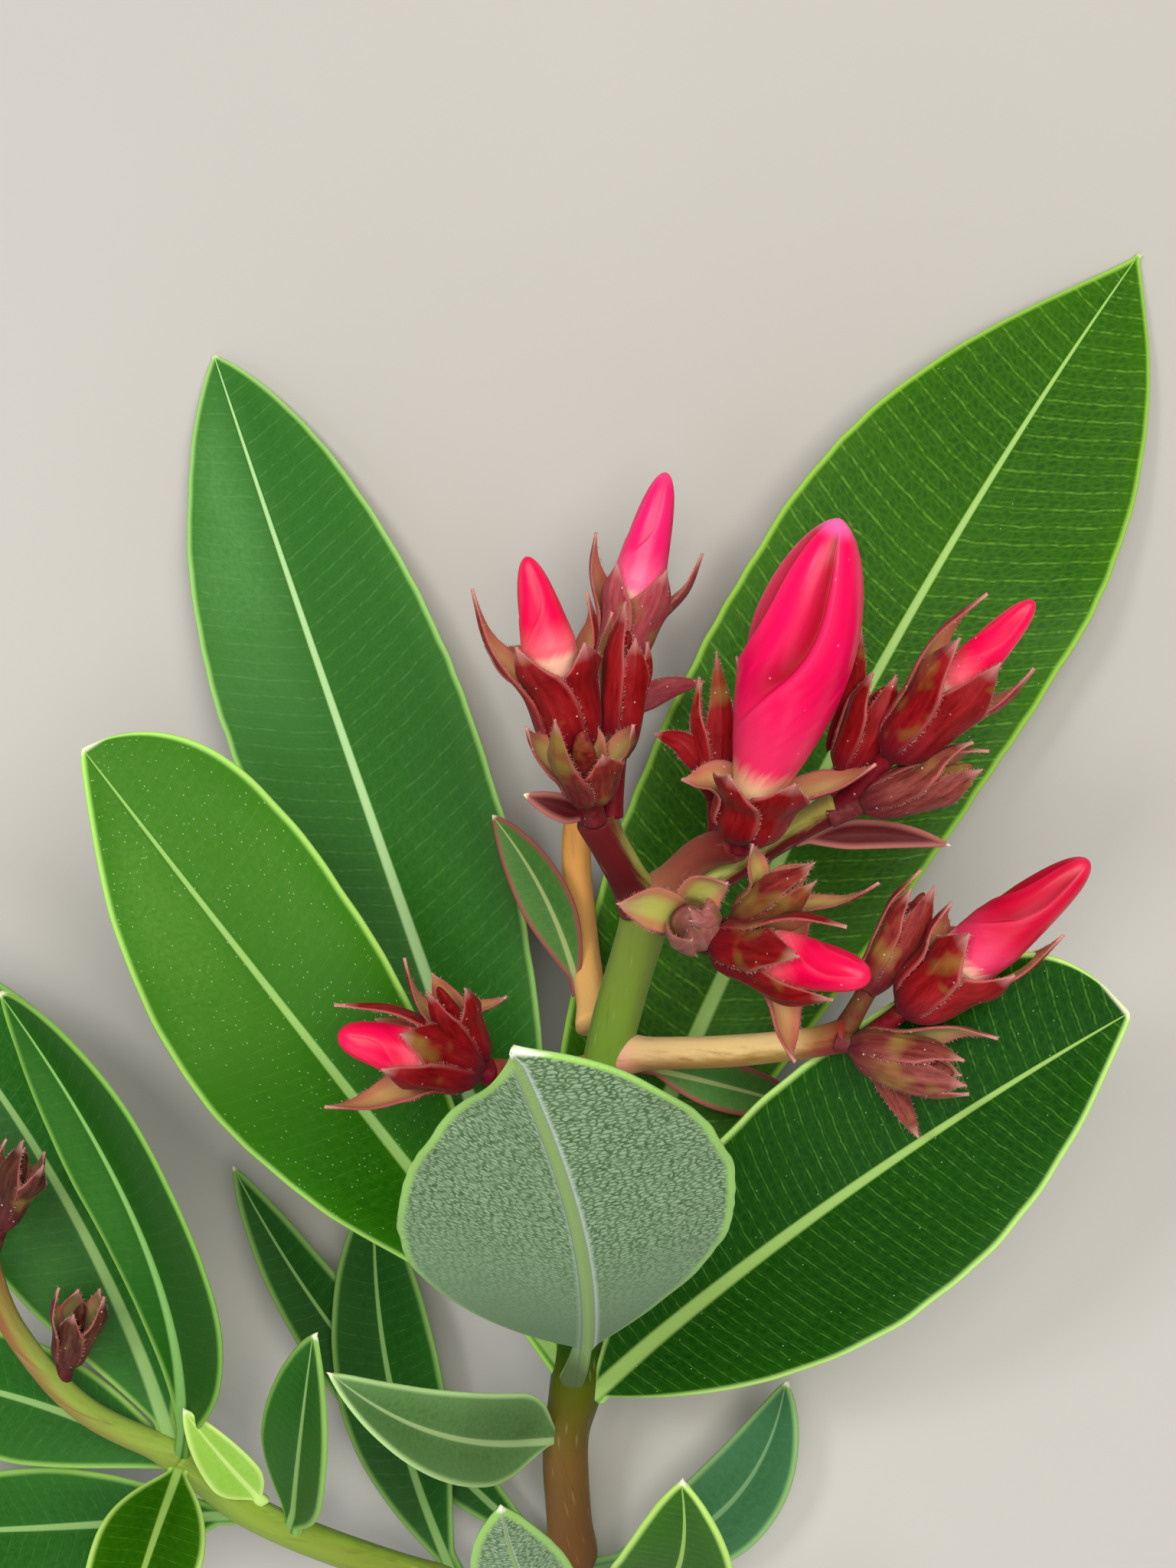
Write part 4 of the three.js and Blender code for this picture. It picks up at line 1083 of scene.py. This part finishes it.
def wrapped_blade(middle, tangent, tilt, half, wrap, thickness, half_points):
    """A blade whose section is an arc of radius R: (R + h) sin(x/R), (R + h) cos(x/R) - R."""
    forward = unit(np.gradient(middle, axis=0))
    across = unit(tangent - forward * np.sum(forward * tangent, axis=1)[:, None])
    outward = np.cross(across, forward)
    side_way = across * np.cos(tilt) + outward * np.sin(tilt)

    def bend(x, height, w, face):
        keel = MIDRIB_HEIGHT * (face > 0) * bell(x, MIDRIB_HALF_WIDTH)
        turn = x / wrap
        return (wrap + height) * np.sin(turn), (wrap + height) * np.cos(turn) - wrap + keel

    rings, x, w, face, _ = blade_rings(middle, side_way, np.cross(side_way, forward),
                                       [half, half], thickness, bend, half_points)
    v = np.linspace(0, 1, len(middle))[:, None]
    skin = ring_skin(rings, {
        "sepal": mark(v, w, face),
        "grain": mark(x * GRAIN[0], walk(middle)[:, None] * GRAIN[1], GRAIN[2] * middle[0, 0]),
    })
    margins = (rings[:, column] for column in (0, 2 * half_points - 2))
    return [skin, *[hairs(margin, margin - middle, forward) for margin in margins]]


def tube_of(bud):
    """The height of the neck, the length of the calyx tube and the pedicel's radius, in mm."""
    tube = (bud["rim"] - bud["neck"]) * bud["length"]
    return bud["neck"] * bud["length"], tube, min(0.8, bud["calyx"] * 0.5)


def sepal(bud, root, angle, reach, spread):
    """Its line runs up the cup at the angle root and turns to its tip's own angle, at
    foot + ahead a + radial(angle) r, where (a, r) is a smooth line over the cup."""
    ahead, side, up = bud_axes(bud)
    neck, tube, pedicel = tube_of(bud)
    cup = bud["calyx"]
    shoulder = np.array([neck + SHOULDER * tube, cup])
    point = np.array([reach, spread])
    bulge = np.array([0.0, BULGE * np.linalg.norm(point - shoulder)])
    outline, _ = smooth_line([
        (neck - 0.3, pedicel * 0.85), (neck + 0.18 * tube, cup * 0.8), shoulder,
        blend(shoulder, point, 0.5) + bulge, point], SEPAL_ROWS)
    along, out = outline.T
    v = np.linspace(0, 1, SEPAL_ROWS)
    turn = blend(root, angle, ease(0.3, 1.0, v))[:, None]
    radial = np.cos(turn) * side + np.sin(turn) * up
    middle = np.array(bud["foot"]) + ahead * along[:, None] + radial * out[:, None]
    opening = min(bud["rim"] * bud["length"], blend(shoulder[0], reach, 0.3))
    free = v[np.argmax(along > opening)]
    past = np.clip((v - free) / (1 - free), 0, 1)
    half = np.pi * cup / 5 * SEPAL_WIDTH_SHARE * np.where(
        v < free, blend(0.6, 1, np.sin(np.pi / 2 * np.clip(2 * v, 0, 1))),
        (1 - past) ** 1.1 * (1 + 0.35 * past))
    half = np.maximum(half, 0.06)
    wrap = np.minimum(np.maximum(out, 0.5), 0.7 + 1.25 * half)[:, None]
    thickness = SEPAL_THICKNESS * (1 - 0.5 * v) * min(1, cup / 2)
    tilt = OVERLAP * (blend(0.45, 1.0, ease(0.1, 0.5, v)) - 0.4 * v)[:, None]
    return wrapped_blade(middle, np.cross(ahead, radial), tilt, half, wrap, thickness,
                         SEPAL_HALF_POINTS)


def bract(line, width):
    """A narrow scale along a smooth line, widest at two fifths, hollow towards the stalk."""
    middle, _ = smooth_line(line, BRACT_ROWS)
    v = np.linspace(0, 1, BRACT_ROWS)
    half = np.maximum(width / 2 * np.sin(np.pi * v**0.75) ** 0.8, 0.07)
    tangent = np.cross(unit(np.gradient(middle, axis=0)), UP)
    return wrapped_blade(middle, tangent, np.zeros((BRACT_ROWS, 1)), half,
                         (0.5 + 1.1 * half)[:, None], BRACT_THICKNESS * (1 - 0.5 * v),
                         BRACT_HALF_POINTS)


# %% Core
CORE_SIDES = 36
CORE_ROWS = 60
# The core above the cup's belly: shares of the way from there to its top, and its radius there
# as a share of the cup's, under petals and as a closed bud's heart.
CORE_PLACES = (0, 0.6, 0.9, 1)
CORE_OPEN = (0.78, 0.6, 0.28, 0.06)
CORE_CLOSED = (0.5, 0.36, 0.2, 0.06)
BELLY = 0.6
HEART_TOP = 0.64
FLUTES = 3
FLUTE_DEPTH = 0.09
FLUTE_TWIST = 5


def core(bud):
    """The pedicel, the cup and the heart as one lathe: a smooth line turned about the axis. A
    closed heart is fluted by three twisted folds, as its inner sepals wrap it."""
    ahead, side, _ = bud_axes(bud)
    neck, tube, pedicel = tube_of(bud)
    cup, rim = bud["calyx"], bud["rim"]
    closed = bud["petals"] == 0
    top = blend(rim, 1, HEART_TOP if closed else 0) * bud["length"]
    widths = CORE_CLOSED if closed else CORE_OPEN
    outline, walked = smooth_line([
        (-0.6, pedicel * 1.15), (0.3 * neck, pedicel), (neck, pedicel),
        (neck + 0.22 * tube, cup * 0.72),
        *((blend(neck + BELLY * tube, top, place), cup * width)
          for place, width in zip(CORE_PLACES, widths)),
    ], CORE_ROWS)
    along, reach = outline.T
    middle = np.array(bud["foot"]) + ahead * along[:, None]
    share = (walked / walked[-1])[:, None]
    flutes = np.sin(FLUTES * turns(CORE_SIDES) + FLUTE_TWIST * share) * ease(0.4, 0.7, share)
    reach = reach[:, None] * (1 + FLUTE_DEPTH * closed * flutes)
    rings = ring_about(middle, ahead[None], side[None], reach, CORE_SIDES)
    return ring_skin(rings, {
        "sepal": mark(share * 0.6, 0.0, 1.0),
        "grain": (rings - rings.mean((0, 1))) * 1.2,
    })


def calyx(name, bud):
    """The core, its five sepals rooted evenly round the cup, and the scale below it."""
    tips = sorted(SEPALS[name], key=lambda tip: tip[0] % 360)
    angles = np.array([np.radians(tip[0] % 360) for tip in tips])
    first = np.angle(np.exp(1j * (angles - turns(5))).sum())
    skins = [core(bud)]
    for (_, reach, spread), angle, step in zip(tips, angles, turns(5)):
        root = angle + np.angle(np.exp(1j * (first + step - angle)))
        skins += sepal(bud, root, angle, reach, spread)
    if name in BRACTS:
        skins += bract(*BRACTS[name])
    return skins


# %% [markdown]
# Calyx skin is dark red-brown, satiny and finely streaked, greener where the sun did not reach.
# Its edges are thin, pinkish and downy, its inner face is yellow-green, and white grains of
# pollen and dust lie on it.

# %% Calyx material
def calyx_material(name, outer, outer_light, inner, green):
    """Calyx skin; green is how much of the outer face has stayed olive."""
    material, tree = new_material(f"calyx skin, {name}")
    along, across, face, _ = mark_of(tree, "sepal")
    grain_at = mark_of(tree, "grain")[3]
    streaks = add(tree, "noise", Vector=grain_at, Scale=1.5, Detail=5.0, Roughness=0.65)
    here = add(tree, "coordinates").outputs["Object"]
    patches = add(tree, "noise", Vector=here, Scale=260.0, Detail=2.0)
    aside = add(tree, "size", [across])
    olive_from = 0.62 - 0.25 * green
    inner_tone = glaze(tree, inner, [
        ("#b86058", ("eased", aside, 0.25, 0.75, 0.0, 0.65)),
        (outer_light, ("even", along, 0.6, 1.0, 0.0, 0.6)),
    ])
    colour = glaze(tree, outer, [
        (outer_light, ("even", streaks, 0.36, 0.74, 0.0, 0.7)),
        ("#8c7a34", ("even", patches, olive_from, olive_from + 0.18, 0.0, 0.8)),
        # Painted shade: darker purple-maroon towards the sepals' roots, round the cup.
        ("#540c20", ("eased", along, 0.1, 0.45, 0.6, 0.0)),
        (inner_tone, ("even", face, 0.3, -0.3)),
        ("#b8605c", ("eased", aside, 0.8, 0.97, 0.0, 0.75), ("even", along, 0.3, 0.65, 0.25, 1.0)),
        ("#d09890", ("even", along, 0.86, 1.0, 0.0, 0.7)),
        ("#ead8cc", *specks(tree, here, 1300.0, 0.05, 0.12, 0.7, 0.45)),
    ])
    return dress(material, (streaks, 0.35, 0.0002), Base_Color=colour, Roughness=0.5, IOR=1.42,
                 Specular_IOR_Level=0.2, Sheen_Weight=0.03, Sheen_Roughness=0.4)


CALYX_TONES = {
    "red": ("#740206", "#ac2024", "#c8a068", 0.1),
    "olive": ("#6c1014", "#a84c3c", "#c0a860", 0.5),
    "pale": ("#a8585c", "#d89c8c", "#b0b058", 0.3),
    "rosy": ("#98303c", "#c8686c", "#c09068", 0.1),
    "dusty": ("#64201c", "#a85c50", "#b8a868", 0.4),
    "brown": ("#3c140a", "#6c4430", "#948c58", 0.3),
}
CALYX_FINISH = {
    "front_calyx": "pale", "back_bud": "rosy", "right_calyx_long": "dusty",
    "right_side_calyx_low": "dusty", "left_calyx_front": "olive", "front_calyx_upper": "olive",
    "right_side_calyx": "olive", "side_shoot_calyx": "brown", "side_shoot_end_calyx": "brown",
}
calyx_skins = {key: calyx_material(key, *tones) for key, tones in CALYX_TONES.items()}

# %% Make the calyces
# The hairs take a skin of their own.
down, tree = new_material("calyx down")
here = add(tree, "coordinates").outputs["Object"]
shades = add(tree, "noise", Vector=here, Scale=900.0)
tone = add(tree, "tones", [shades], stops="0.35 #b87870 0.65 #e0b8a8")
dress(down, Base_Color=tone, Roughness=0.7, Specular_IOR_Level=0.3)

for name, bud in BUDS.items():
    node = f"{name}_calyx" if name in shown else name
    skin = calyx_skins[CALYX_FINISH.get(name, "red")]
    make_piece(node, calyx(name, bud), [skin, down])
print("calyces:", len(BUDS))
